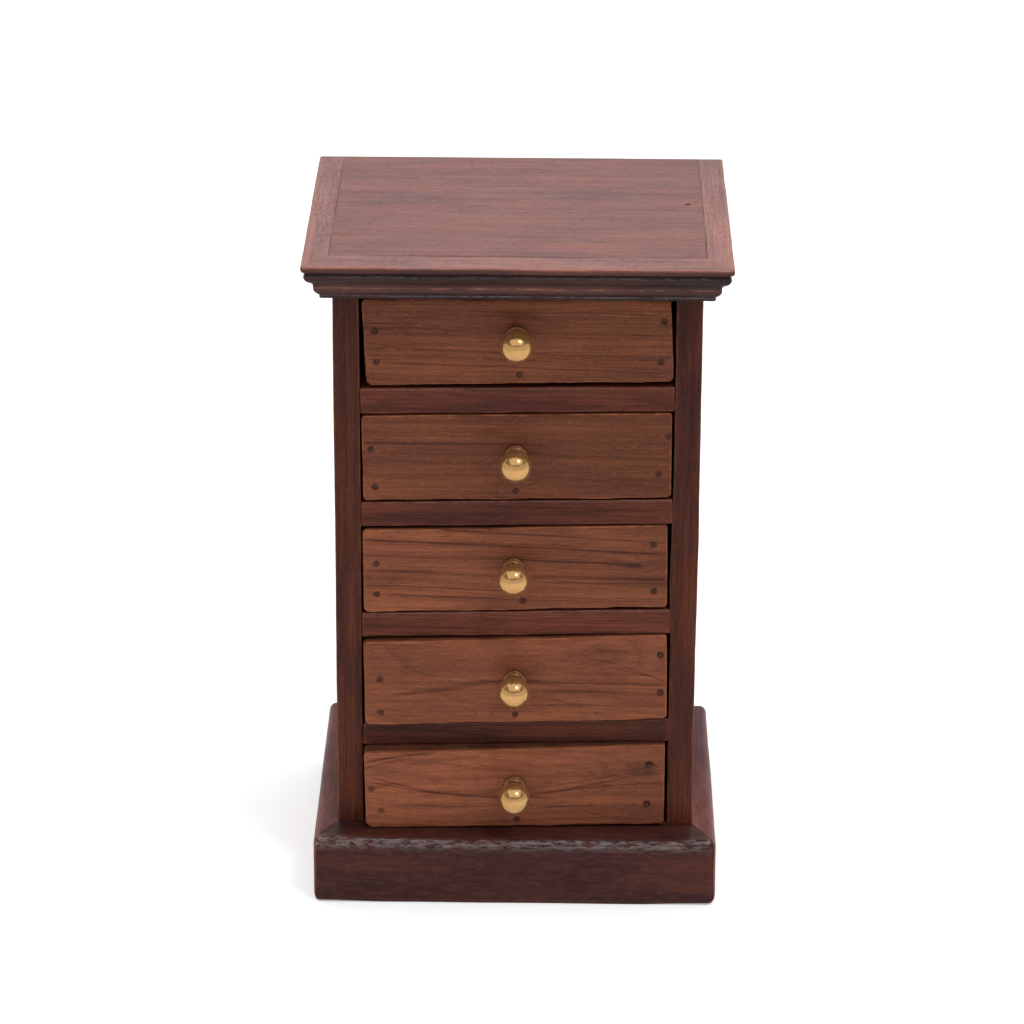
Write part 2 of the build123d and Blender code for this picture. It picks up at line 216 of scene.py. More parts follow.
# What a kind of wood looks like: its pale and dark colours, a second tint that drifts through it,
# the colour of worn edges, and how strong its rings, fibres, pores and painted glints show.
WOODS = {
    "front": dict(
        pale=(0.215, 0.068, 0.031), dark=(0.040, 0.011, 0.007), tint=(0.125, 0.038, 0.022),
        worn=(0.36, 0.125, 0.050), rings=0.66, fibres=0.30, pores=0.55, drift=0.60, wear=0.75,
        hairs=0.42, painted_glints=0.22, rough=0.42, shine=0.09,
    ),
    "case": dict(
        pale=(0.100, 0.026, 0.014), dark=(0.018, 0.006, 0.005), tint=(0.052, 0.015, 0.011),
        worn=(0.17, 0.055, 0.030), rings=0.50, fibres=0.32, pores=0.5, drift=0.85, wear=0.50,
        hairs=0.40, painted_glints=0.22, rough=0.40, shine=0.08,
    ),
    "base": dict(
        pale=(0.062, 0.017, 0.011), dark=(0.016, 0.005, 0.006), tint=(0.034, 0.010, 0.010),
        worn=(0.115, 0.036, 0.022), rings=0.30, fibres=0.25, pores=0.4, drift=1.0, wear=0.15,
        hairs=0.35, painted_glints=0.22, mottle=0.30, rough=0.40, shine=0.11,
    ),
    "top": dict(
        pale=(0.190, 0.055, 0.039), dark=(0.050, 0.017, 0.017), tint=(0.118, 0.037, 0.036),
        worn=(0.30, 0.110, 0.075), rings=0.20, fibres=0.26, pores=0.6, drift=0.75, wear=0.75,
        hairs=0.30, painted_glints=0.15, mottle=0.12, rough=0.44, shine=0.42,
    ),
    "cornice": dict(
        pale=(0.262, 0.094, 0.070), dark=(0.072, 0.026, 0.024), tint=(0.180, 0.064, 0.056),
        worn=(0.33, 0.130, 0.092), rings=0.38, fibres=0.30, pores=0.5, drift=0.9, wear=0.75,
        hairs=0.32, painted_glints=0.15, rough=0.40, shine=0.15,
    ),
    "box": dict(
        pale=(0.36, 0.19, 0.095), dark=(0.19, 0.088, 0.042), tint=(0.29, 0.145, 0.070),
        worn=(0.42, 0.25, 0.14), rings=0.5, fibres=0.35, pores=0.6, drift=0.6, wear=0.4,
        hairs=0.30, painted_glints=0.15, rough=0.62, shine=0.35,
    ),
    "panel": dict(
        pale=(0.150, 0.060, 0.036), dark=(0.055, 0.022, 0.015), tint=(0.100, 0.040, 0.026),
        worn=(0.24, 0.12, 0.07), rings=0.5, fibres=0.35, pores=0.6, drift=0.7, wear=0.5,
        hairs=0.30, painted_glints=0.15, rough=0.55, shine=0.4,
    ),
}

GRAIN_ORDER = {"X": (0, 1, 2), "X_flat": (0, 2, 1), "Y": (1, 2, 0), "Z": (2, 0, 1)}

# The patterns in a wood: how long and how wide their grains are in millimetres, their detail and
# roughness, and how far each unit of the seed moves them
PATTERNS = {
    "slow": (70, 16, 2.0, 0.5, 3.1),
    "fine": (16, 3.2, 2.0, 0.6, 5.3),
    "fibre": (26, 0.40, 3.0, 0.6, 2.3),
    "band": (110, 2.1, 3.0, 0.62, 7.9),
    "pore": (2.6, 0.20, 1.0, 0.5, 4.7),
    "drift": (48, 11, 3.0, 0.55, 9.7),
    "hair": (13, 0.42, 2.0, 0.55, 11.3),
    # The fleck pattern places the painted glints of the lacquer
    "fleck": (2.4, 0.36, 1.0, 0.5, 12.9),
    "mottle": (5.0, 1.7, 4.0, 0.68, 13.7),
    "ragged": (7, 1.6, 3.0, 0.65, 1.3),
    "smear": (18, 5, 3.0, 0.6, 6.1),
    "bead": (2.4, 0.8, 3.0, 0.7, 8.3),
}

# How far the slow and the fine waves bend the rings, in millimetres
BENDS = {"slow": 5.5, "fine": 0.75}

# One ring: pale early wood darkens slowly to a sharp late line
RING_STOPS = ((0.0, 0.42), (0.10, 0.05), (0.45, 0.16), (0.80, 0.62), (0.93, 1.0), (1.0, 0.42))

KNOT_DARK = (0.022, 0.010, 0.009)
STAIN_COLOURS = ((0.022, 0.008, 0.007), (0.009, 0.004, 0.004))
# The colour of dirt, and of the painted shade in grooves and corners
DIRT_AND_SHADE_COLOUR = (0.012, 0.008, 0.008)


class Wood(Shader):
    """A wood's nodes, and the place along its grain, the look and the patterns that they share."""

    def __init__(self, name, kind, grain, seed, clear):
        super().__init__(bpy.data.materials.new(name))
        self.look, self.seed, self.clear = WOODS[kind], seed, clear
        place = self.parts(self.place())
        ordered = {n: place[axis] for n, axis in enumerate(GRAIN_ORDER[grain])}
        self.grain = self.add("ShaderNodeCombineXYZ", ordered)
        self.along, self.across, self.level = self.parts(self.grain)
        self.fibre = self.pattern("fibre")
        self.band = self.pattern("band")
        self.drift = self.blend(self.pattern("drift"), 0.36, 0.66)
        self.hairs = self.blend(self.pattern("hair"), 0.54, 0.70)

    def pattern(self, name, out="Fac", size=None):
        along, across, detail, roughness, shift = PATTERNS[name]
        place = self.stretched(self.grain, *(size or (along, across)))
        return self.noise(place, detail, roughness, out, self.seed * shift)

    def bend(self, figure):
        """Waves that keep every line from running straight, as three values in millimetres."""
        waved = []
        for name, amount in BENDS.items():
            centred = self.vector("SUBTRACT", self.pattern(name, "Color"), (0.5, 0.5, 0.5))
            waved.append(self.scaled(centred, amount * figure))
        return self.parts(self.vector("ADD", *waved))

    def turns(self, bend, heart, lean, ring):
        """How many rings lie between a place and the heart line, some wider than others."""
        squares = []
        sides = ((self.across, bend[1]), (self.level, bend[2]))
        for (side, moved), centre, slant in zip(sides, heart, lean):
            offset = self.times_plus(self.along, -slant, -centre)
            reach = self.plus(self.plus(side, offset), moved)
            squares.append(self.times(reach, reach))
        turn = self.math("DIVIDE", self.math("SQRT", self.plus(*squares)), ring)
        inputs = {"W": turn, "Scale": 0.45, "Detail": 2.0}
        spread = self.add("ShaderNodeTexNoise", inputs, noise_dimensions="1D")
        return self.plus(turn, self.times_plus(spread, 2.4, self.seed * 0.37))

    def knotted(self, turn, knots):
        """Pushes the rings aside round each knot, and gives the knots' darkness too."""
        darkness = None
        for knot_along, knot_level, length, height, dark in knots:
            place = self.add("ShaderNodeCombineXYZ", {0: self.along, 1: self.level})
            offset = self.vector("SUBTRACT", place, (knot_along, knot_level, 0))
            away = self.vector("LENGTH", self.vector("MULTIPLY", offset, (1 / length, 1 / height, 1)))
            turn = self.plus(turn, self.blend(away, 0.0, 3.0, 1.6, 0.0))
            shade = self.blend(away, 0.35, 1.25, dark, 0.0)
            darkness = shade if darkness is None else self.math("MAXIMUM", darkness, shade)
        return turn, darkness

    def ring_tone(self, turn):
        """How dark each ring is along its width. Some rings are stronger."""
        tone = self.curve(self.math("FRACT", turn), RING_STOPS)
        each = self.add("ShaderNodeTexWhiteNoise", {"W": self.math("FLOOR", turn)}, noise_dimensions="1D")
        return self.times(tone, self.times_plus(each, 0.85, 0.15))

    def open_pores(self, rings):
        """Short pores, most of them in the early wood."""
        early = self.times_plus(self.minus(1.0, rings), 0.6, 0.4)
        return self.times(self.blend(self.pattern("pore"), 0.60, 0.72), early)

    def shade(self, tone, fade):
        """Light and dark fibres, and the tone that fades along the grain."""
        depth = self.look["fibres"] * self.clear
        fibre, band = (self.blend(field, 0.30, 0.70) for field in (self.fibre, self.band))
        shade = self.times_plus(fibre, depth * 1.3, 1 - depth * 0.65)
        bands = self.times_plus(band, -depth * 1.3, 1 + depth * 0.65)
        shade = self.times(shade, bands)
        shade = self.times(shade, self.times_plus(self.along, -fade * tone, tone))
        return self.add("ShaderNodeCombineColor", {0: shade, 1: shade, 2: shade})

    def heartwood(self, rings, pores, tone, fade):
        """The clean wood's colour."""
        look, dark, worn = self.look, self.look["dark"], self.look["worn"]
        colour = self.toward(look["pale"], self.drift, look["drift"], look["tint"])
        colour = self.toward(colour, rings, look["rings"] * self.clear, dark)
        colour = self.mix(1.0, colour, self.shade(tone, fade), "MULTIPLY")
        colour = self.toward(colour, pores, look["pores"], dark)
        colour = self.toward(colour, self.hairs, look["hairs"] * self.clear, dark)
        # Light flecks along the grain: painted glints of the lacquer
        painted_glints = self.blend(self.pattern("fleck"), 0.60, 0.74)
        colour = self.toward(colour, painted_glints, look["painted_glints"], worn)
        if "mottle" in look:
            mottle = self.blend(self.pattern("mottle"), 0.44, 0.66)
            colour = self.toward(colour, mottle, look["mottle"], worn)
        return colour

    def streaked(self, colour, bend, streaks):
        """Dark soft lines, each where the list places it."""
        wavy = self.plus(self.level, self.times(bend[2], 0.6))
        broken = self.times_plus(self.blend(self.band, 0.35, 0.62), 0.5, 0.5)
        for start, end, level, slope, thickness, strength, bow in streaks:
            middle = self.times_plus(self.along, slope, level - slope * start)
            height = self.minus(wavy, middle)
            if bow:
                share = self.times_plus(self.along, 1 / (end - start), -start / (end - start))
                rise = self.times(share, self.minus(1.0, share))
                height = self.times_plus(rise, -4.0 * bow, height)
            line = self.blend(self.math("ABSOLUTE", height), 0.0, thickness, strength, 0.0)
            begun = self.blend(self.along, start - 4, start + 6)
            inside = self.times(begun, self.blend(self.along, end - 6, end + 6, 1.0, 0.0))
            colour = self.toward(colour, self.times(line, inside), broken, self.look["dark"])
        return colour

    def stained(self, colour):
        """Dark stain that was never rubbed off the mouldings."""
        return self.toward(colour, self.attribute("stain"), 0.95, self.mix(self.drift, *STAIN_COLOURS))

    def aged(self, colour):
        """Worn edges, iron stains round the pins, dirt where two pieces meet, and painted shade in
        grooves and corners.
        """
        ragged = self.pattern("ragged")
        worn = self.plus(self.attribute("wear"), self.times_plus(ragged, 1.3, -0.65))
        colour = self.toward(colour, self.blend(worn, 0.45, 0.95), self.look["wear"], self.look["worn"])
        patchy = self.times(self.minus(ragged, 0.5), 0.5)
        dirt_and_painted_shade = self.plus(self.attribute("dirt_and_painted_shade"), patchy)
        dirt_and_painted_shade = self.times(self.blend(dirt_and_painted_shade, 0.12, 0.9), 0.92)
        return self.mix(dirt_and_painted_shade, colour, DIRT_AND_SHADE_COLOUR), dirt_and_painted_shade

    def polish(self, pores, dirt_and_painted_shade):
        """Roughness: duller in pores, dirt and painted shade, and smeared a little along the grain."""
        rough = self.times_plus(self.pattern("smear"), 0.22, self.look["rough"] - 0.11)
        dull = self.times(self.math("MAXIMUM", pores, dirt_and_painted_shade), 0.25)
        return self.plus(rough, dull, clamp=True)

    def relief(self, rings, pores):
        """Raised fibres, and hollow pores, hairs and late rings."""
        height = self.times_plus(self.fibre, 0.55, self.times(self.band, 0.35))
        for field, depth in ((pores, 0.9), (self.hairs, 0.45), (rings, 0.15)):
            height = self.minus(height, self.times(field, depth))
        return self.bump(height, 0.55, 0.12)

    def gloss(self, beads):
        """Thick polish in beads, where a piece says so."""
        bead = self.blend(self.pattern("bead", size=beads), 0.38, 0.60)
        return self.times(self.attribute("gloss"), bead)


def wood(name, kind, grain, seed, heart=(0.0, -90.0), lean=(0.0, 0.0), ring=2.2, figure=1.0, tone=1.0,
         knots=(), streaks=(), shine=None, coat=(0.12, 2.2), beads=None, clear=1.0, fade=0.0):
    """Solid wood: yearly rings round a heart line, cut by whatever shape wears the material.

    heart is where the rings' centre crosses the plane at nought along the grain, in millimetres in
    the two directions across it, and lean is how much it moves per millimetre along the grain.
    ring is a ring's width, figure how wavy the rings are, clear how strong the lines are, and tone
    the brightness, which fades by a share of itself per millimetre along the grain.
    A knot is its place (along the grain, across in the last direction), its length, its height and
    its darkness. A streak is a dark soft line: where it begins and ends along the grain, its level,
    its slope, its thickness, its strength and how far it bows up in the middle.
    coat is the roughness and index of the polish, and beads the length and width of its patches.
    """
    s = Wood(name, kind, grain, seed, clear)
    bend = s.bend(figure)
    turn, knot_shade = s.knotted(s.turns(bend, heart, lean, ring), knots)
    rings = s.ring_tone(turn)
    pores = s.open_pores(rings)
    colour = s.streaked(s.heartwood(rings, pores, tone, fade), bend, streaks)
    if knot_shade is not None:
        colour = s.mix(knot_shade, colour, KNOT_DARK)
    colour, dirt_and_painted_shade = s.aged(s.stained(colour))
    return s.finish({
        "Base Color": colour,
        "Roughness": s.polish(pores, dirt_and_painted_shade),
        "Normal": s.relief(rings, pores),
        "Specular IOR Level": s.look["shine"] if shine is None else shine,
        "Coat Weight": s.gloss(beads), "Coat Roughness": coat[0], "Coat IOR": coat[1],
    })


# ---- metal

BRASS = ((0.51, 0.290, 0.112), (0.44, 0.232, 0.078))
BRASS_SPECKS = (0.30, 0.16, 0.06)
# Tarnish, darkened as a painted reflection of the dark wood round the knob's foot
TARNISH_AND_REFLECTION = (0.12, 0.042, 0.020)
GRIT_COLOUR = (0.02, 0.015, 0.012)


def brass():
    """Polished brass with fine rubbing marks, and tarnish that the cloth didn't reach, darker still as a
    painted reflection of the wood.
    """
    s = Shader(bpy.data.materials.new("brass"))
    place = s.place()
    cloud = s.noise(s.scaled(place, 0.35), 4.0, 0.6)
    speck = s.noise(s.scaled(place, 2.6), 2.0, 0.7)
    rub = s.noise(s.vector("MULTIPLY", place, (0.9, 7.0, 7.0)), 2.0, 0.6)
    dirt_and_painted_shade = s.attribute("dirt_and_painted_shade")
    colour = s.mix(s.blend(cloud, 0.35, 0.7, 0.0, 0.6), *BRASS)
    colour = s.mix(s.blend(speck, 0.62, 0.76, 0.0, 0.5), colour, BRASS_SPECKS)
    # Tarnish and the painted reflection of the wood, where the attribute says
    colour = s.toward(colour, dirt_and_painted_shade, 0.92, TARNISH_AND_REFLECTION)
    rough = s.plus(s.times_plus(cloud, 0.10, 0.10), s.times(dirt_and_painted_shade, 0.20))
    return s.finish({"Base Color": colour, "Metallic": 0.78, "Roughness": rough,
                     "Normal": s.bump(rub, 0.14, 0.05), "Specular IOR Level": 0.3})


def steel(name, clean, rusty, rust, shine=0.5):
    """Iron or steel with a darkened, partly rusty skin."""
    s = Shader(bpy.data.materials.new(name))
    place = s.place()
    patch = s.noise(s.scaled(place, 0.9), 4.0, 0.65)
    grit = s.noise(s.scaled(place, 6.0), 2.0, 0.6)
    spread = s.blend(patch, rust, rust + 0.18)
    colour = s.mix(s.blend(grit, 0.5, 0.75, 0.0, 0.4), s.mix(spread, clean, rusty), GRIT_COLOUR)
    return s.finish({"Base Color": colour, "Metallic": s.times_plus(spread, -0.8, 0.9),
                     "Roughness": s.times_plus(spread, 0.35, 0.38),
                     "Normal": s.bump(grit, 0.4, 0.08), "Specular IOR Level": shine})


# ---- shapes

SHARP_ANGLE = math.radians(40)

# Extra lattice rows: by each end as shares of its rounding, and round each mark in millimetres
EDGE_ROWS = (0.12, 0.28, 0.5, 0.75, 1.0, 1.5)
MARK_ROWS = (0.0, 0.4, 0.8, 1.0, 1.15, 1.4, 1.9)
ROW_GAP = 0.05 * MM  # rows closer than this are left out
WAVES = 5


def waves(points, amount, length, seed):
    """A smooth shift for each point, at most about that amount, with waves about that long."""
    draw = np.random.default_rng(seed)
    shift = np.zeros_like(points)
    for axis in range(3):
        for _ in range(WAVES):
            direction = draw.normal(size=3)
            direction *= 2 * math.pi / (length * draw.uniform(0.6, 1.6)) / np.linalg.norm(direction)
            shift[:, axis] += np.sin(points @ direction + draw.uniform(0, 2 * math.pi)) / WAVES
    return shift * amount


def ripple(points, length, seed):
    """One smooth value from about -1 to 1 for each point."""
    return waves(points, 1.0, length, seed)[:, 0] * 1.6


def rows(low, high, step, edge=0.0, marks=()):
    """Lattice rows from low to high: dense by rounded ends and round each mark, else a step apart."""
    found = list(np.linspace(low, high, max(2, int(round((high - low) / step)) + 1)))
    if edge:
        for share in EDGE_ROWS:
            found += [low + edge * share, high - edge * share]
    for mark in marks:
        for offset in MARK_ROWS:
            found += [mark - offset * MM, mark + offset * MM]
    found = sorted(value for value in found if low <= value <= high)
    kept = [low]
    for value in found:
        if value - kept[-1] > ROW_GAP and high - value > ROW_GAP:
            kept.append(value)
    return np.array(kept + [high])


def lattice(us, vs, ws):
    """The surface of a lattice box: its points and its quads, facing outward."""
    shape = (len(us), len(vs), len(ws))
    shell = np.ones(shape, bool)
    shell[1:-1, 1:-1, 1:-1] = False
    number = np.full(shape, -1)
    number[shell] = np.arange(shell.sum())
    i, j, k = np.nonzero(shell)
    quads = []
    for axis in range(3):
        for place, outward in ((0, axis == 1), (shape[axis] - 1, axis != 1)):
            sheet = np.take(number, place, axis=axis)
            ring = [sheet[:-1, :-1], sheet[1:, :-1], sheet[1:, 1:], sheet[:-1, 1:]]
            if not outward:
                ring.reverse()
            quads.append(np.stack([corner.ravel() for corner in ring], 1))
    return np.stack([us[i], vs[j], ws[k]], 1), np.concatenate(quads)


def round_about(core, points):
    """Pulls points in round their core points, so that a square edge comes out round."""
    away = points - core
    reach = np.linalg.norm(away, axis=1)
    scale = np.divide(np.abs(away).max(1), reach, out=np.ones_like(reach), where=reach > 0)
    return core + away * scale[:, None]


def rounded(points, low, high, radius):
    """Takes points of a square-edged box onto the same box with rounded edges."""
    radius = np.broadcast_to(radius, len(points))[:, None]
    return round_about(np.clip(points, low + radius, high - radius), points)


def turned_corners(points, shaped, low, high, radii):
    """Rounds a front's corners as seen from the front: upper left and right, lower left and right."""
    share_x = (points[:, 0] - low[0]) / (high[0] - low[0])
    share_z = (points[:, 2] - low[2]) / (high[2] - low[2])
    right, upper = share_x > 0.5, share_z > 0.5
    radius = np.select([~right & upper, right & upper, ~right & ~upper], radii[:3], radii[3]) * MM
    radius = radius[:, None]
    core = np.clip(points[:, (0, 2)], low[[0, 2]] + radius, high[[0, 2]] - radius)
    moved = shaped.copy()
    moved[:, (0, 2)] = round_about(core, shaped[:, (0, 2)])
    return moved


def upper_front_edge(strength):
    """Polish that has built up along a board's upper front edge."""
    def paint(points, low, high):
        gap = np.hypot(points[:, 1] - low[1], high[2] - points[:, 2])
        return strength * np.exp(-gap / (0.32 * MM))
    return paint


def edge_distance(points, low, high):
    """How far each point on a box's surface is from the nearest edge."""
    gaps = np.minimum(points - low, high - points)
    return np.sort(gaps, axis=1)[:, 1]


def show(name, points, quads, material, body, node, attributes):
    """Makes a mesh piece, on its body and in place of its CAD node."""
    mesh = bpy.data.meshes.new(name)
    mesh.vertices.add(len(points))
    mesh.vertices.foreach_set("co", points.astype(np.float32).ravel())
    mesh.loops.add(quads.size)
    mesh.loops.foreach_set("vertex_index", quads.astype(np.int32).ravel())
    mesh.polygons.add(len(quads))
    mesh.polygons.foreach_set("loop_start", np.arange(0, quads.size, quads.shape[1], dtype=np.int32))
    mesh.update(calc_edges=True)
    mesh.validate()
    for key, values in attributes.items():
        layer = mesh.attributes.new(key, "FLOAT", "POINT")
        layer.data.foreach_set("value", values.astype(np.float32))
    mesh.shade_smooth()
    mesh.set_sharp_from_angle(angle=SHARP_ANGLE)
    mesh.materials.append(material)
    piece = added(name, mesh)
    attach(piece, body)
    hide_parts(node)


# ---- the hand-made lean of the drawers

# How much the rails and drawers rise to the right, per unit of width, at each height in millimetres
LEAN_HEIGHTS = (26.0, 45.0, 64.0, 107.0, 151.0, 195.0, 234.0)
LEAN_SLOPES = (0.000, 0.017, 0.024, 0.022, 0.018, 0.017, 0.004)

# How much they sit lower than level, in millimetres, at each height
SAG_HEIGHTS = (27.0, 58.0, 67.0, 72.0, 102.0, 110.0)
SAG_DROPS = (0.0, 0.0, 0.8, 0.7, 0.1, 0.0)


def leaned(points):
    """Lifts the right and lowers the left of everything between the uprights, as in the photograph."""
    slope = np.interp(points[:, 2] / MM, LEAN_HEIGHTS, LEAN_SLOPES)
    sag = np.interp(points[:, 2] / MM, SAG_HEIGHTS, SAG_DROPS)
    moved = points.copy()
    moved[:, 2] += points[:, 0] * slope - sag * MM
    return moved


# ---- pins


def loose_parts(mesh):
    """Groups a mesh's vertices by the separate solids they belong to, joined by place."""
    points = np.array([v.co for v in mesh.vertices])
    places, first = np.unique(np.round(points / (0.01 * MM)), axis=0, return_inverse=True)
    first = first.ravel()
    parent = list(range(len(places)))

    def root(n):
        while parent[n] != n:
            parent[n] = parent[parent[n]]
            n = parent[n]
        return n

    for edge in mesh.edges:
        a, b = root(first[edge.vertices[0]]), root(first[edge.vertices[1]])
        parent[a] = b
    groups = {}
    for n, place in enumerate(first):
        groups.setdefault(root(place), []).append(n)
    return [points[members] for members in groups.values()]


def pin_heads(node):
    """Where each pin of a CAD node shows: the middle of its head and the direction it faces."""
    heads = []
    for part in loose_parts(frame["nodes"][node].data):
        low, high = part.min(0), part.max(0)
        axis = int(np.argmax(high - low))
        others = [a for a in range(3) if a != axis]
        middle = (low + high) / 2
        wide = np.linalg.norm((part - middle)[:, others], axis=1) > 0.85 * MM
        end = 1.0 if part[wide, axis].mean() > middle[axis] else -1.0
        facing = np.zeros(3)
        facing[axis] = end
        place = middle.copy()
        place[axis] = high[axis] if end > 0 else low[axis]
        heads.append((place, facing, high[axis] - low[axis]))
    return heads


PIN_PUNCH = 0.4 * MM
PIN_HEAD_RADIUS = 1.0 * MM
PIN_RADIUS = 0.65 * MM
PIN_SIDES = 20
PIN_TIP = 0.05 * MM

# A pin's head and shank: radius as a share of the head's, and height in millimetres
PIN_PROFILE = (
    (0.0, 0.0), (0.55, -0.01), (0.85, -0.06), (0.97, -0.16), (1.0, -0.32), (0.98, -0.62),
    (0.66, -0.72), (0.65, -1.4),
)


def lathe_quads(start, rings, sides, turned=False):
    """The quads of rings of points, with both ends closed. turned makes them face the other way."""
    quads = []
    for ring in range(rings - 1):
        for side in range(sides):
            a = start + ring * sides + side
            b = start + ring * sides + (side + 1) % sides
            quads.append((a, b, b + sides, a + sides) if turned else (b, a, a + sides, b + sides))
    for first, reverse in ((start, turned), (start + (rings - 1) * sides, not turned)):
        for n in range(sides // 2 - 1):
            quad = (first + n, first + n + 1, first + sides - 2 - n, first + sides - 1 - n)
            quads.append(quad[::-1] if reverse else quad)
    return quads


def pins(name, node, body, material, bend=None):
    """Driven pins, each head a little domed and tipped its own way."""
    draw = np.random.default_rng(sum(map(ord, name)))
    points, quads = [], []
    for place, facing, length in pin_heads(node):
        axis = Vector(facing)
        tipped = (axis + Vector(draw.normal(size=3)) * 0.05).normalized()
        across = tipped.orthogonal().normalized()
        third = tipped.cross(across)
        start = len(points)
        stations = [(r * PIN_HEAD_RADIUS, h * MM) for r, h in PIN_PROFILE]
        stations += [(PIN_RADIUS, -length + 1.2 * MM), (PIN_TIP, -length)]
        for radius, height in stations:
            line = axis if height < -1.0 * MM else tipped
            for side in range(PIN_SIDES):
                turn = 2 * math.pi * side / PIN_SIDES
                wobble = 1 + 0.05 * math.sin(3 * turn + start)
                reach = max(radius * wobble, 0.01 * MM)
                spoke = across * math.cos(turn) + third * math.sin(turn)
                points.append(Vector(place) + line * height + spoke * reach)
        quads += lathe_quads(start, len(stations), PIN_SIDES)
    points = np.array(points)
    if bend:
        points = bend(points)
    show(name, points, np.array(quads), material, body, node, {})


HOLE_DEPTH = PIN_PUNCH + 0.10 * MM
HOLE_WALL = 0.18 * MM  # how wide the hole's sloping side is
STAIN_REACH = 0.55 * MM
STAIN_STRENGTH = 0.55


def punched(points, heads):
    """Presses a ragged, stained round hole into the wood over each pin head."""
    moved = points.copy()
    dirt_and_painted_shade = np.zeros(len(points))
    for n, (place, facing, _) in enumerate(heads):
        away = points - place
        height = away @ facing
        flat = away - np.outer(height, facing)
        reach = np.linalg.norm(flat, axis=1)
        turn = np.arctan2(flat @ np.roll(facing, 1), flat @ np.roll(facing, 2))
        limit = PIN_HEAD_RADIUS * (1.04 + 0.07 * np.sin(2 * turn + n) + 0.05 * np.sin(5 * turn + 2 * n))
        near = (height > -0.6 * MM) & (height < 1.2 * MM)
        share = np.clip((limit + HOLE_WALL - reach) / HOLE_WALL, 0, 1) * near
        moved -= np.outer(share * HOLE_DEPTH, facing)
        ragged = 1 + 0.5 * np.sin(2 * turn + 1.7 * n) + 0.4 * np.sin(3 * turn + 2.3 * n)
        ragged = np.maximum(STAIN_REACH * ragged, 0.15 * MM)
        stain = STAIN_STRENGTH * np.exp(-np.clip(reach - PIN_HEAD_RADIUS, 0, None) / ragged) * near
        dirt_and_painted_shade = np.maximum(dirt_and_painted_shade, stain)
    return moved, dirt_and_painted_shade


def heads_on(low, high, heads):
    """The pin heads that come out at a box's surface."""
    found = []
    for place, facing, length in heads:
        surface = place + facing * PIN_PUNCH
        axis = int(np.argmax(np.abs(facing)))
        face = high[axis] if facing[axis] > 0 else low[axis]
        inside = all(low[a] < surface[a] < high[a] for a in range(3) if a != axis)
        if inside and abs(surface[axis] - face) < 0.3 * MM:
            found.append((place, facing, length))
    return found


# ---- boards


def board(name, node, body, material, radius=0.6, step=2.0, wobble=0.15, heads=(), low=None,
          high=None, bend=None, corners=None, turned=None, gloss=None, darkening=None, steps=None,
          worn=1.0, seam=0.0):
    """A hand-planed board in place of a CAD node, with softened edges and its pins' holes."""
    seed = sum(ord(letter) * (n + 1) for n, letter in enumerate(name))
    node_low, node_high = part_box(node)
    low = np.array(node_low) if low is None else np.array(low)
    high = np.array(node_high) if high is None else np.array(high)
    mine = heads_on(low, high, heads)
    radius *= MM
    spans = []
    for axis in range(3):
        marks = [place[axis] for place, facing, _ in mine if abs(facing[axis]) < 0.5]
        along = (steps[axis] if steps else step) * MM
        spans.append(rows(low[axis], high[axis], along, radius, sorted(set(np.round(marks, 6)))))
    points, quads = lattice(*spans)
    edge = edge_distance(points, low, high)
    uneven = 1.0 + 0.55 * ripple(points, 22 * MM, seed) + 0.3 * ripple(points, 6 * MM, seed + 5)
    shaped = rounded(points, low, high, radius * np.clip(uneven, 0.35, 1.9))
    if turned is not None:
        shaped = turned_corners(points, shaped, low, high, turned)
    shaped += waves(points, wobble * MM, 45 * MM, seed + 1)
    shaped += waves(points, wobble * 0.35 * MM, 12 * MM, seed + 2)
    shaped, dirt_and_painted_shade = punched(shaped, mine)
    if corners is not None:
        shaped = corners(points, shaped, low, high)
    if bend:
        shaped = bend(shaped)
    shaped = np.clip(shaped, CAD_LOW, CAD_HIGH)
    dirt_and_painted_shade = np.maximum(dirt_and_painted_shade, seam * np.exp(-edge / (0.35 * MM)))
    if darkening is not None:
        dirt_and_painted_shade = np.maximum(dirt_and_painted_shade, darkening(points, low, high))
    attributes = {"wear": worn * np.exp(-edge / (0.9 * MM)), "dirt_and_painted_shade": dirt_and_painted_shade}
    if gloss is not None:
        attributes["gloss"] = gloss(points, low, high)
    show(name, shaped, quads, material, body, node, attributes)


# ---- drawers

# How far the corners of each front stray from square, in millimetres: (right, up) for the top
# left, top right, bottom left and bottom right, and how far the left end stands out further
FRONT_STRAY = {
    1: ((-0.3, -0.2), (-0.9, 0.0), (1.2, 0.2), (0.6, 1.1), 0.0),
    2: ((-0.9, 0.0), (0.2, 0.1), (-0.2, -0.3), (0.6, 0.0), 0.0),
    3: ((-0.7, -0.7), (-0.5, 0.15), (-0.35, -0.5), (-0.25, 0.3), 0.0),
    4: ((-0.9, -0.5), (0.0, 0.25), (-0.2, -0.5), (0.45, -0.1), 1.4),
    5: ((-0.7, 0.2), (0.15, 0.35), (-0.1, -0.65), (0.15, 0.1), 4.0),
}

# Corner radii as seen from the front, in millimetres: top left, top right, bottom left, bottom right
FRONT_TURNS = {
    1: (1.2, 1.3, 2.4, 1.6),
    2: (1.3, 1.4, 1.6, 1.3),
    3: (1.6, 1.2, 1.9, 1.3),
    4: (1.4, 1.1, 2.0, 1.6),
    5: (1.5, 1.2, 2.8, 1.4),
}

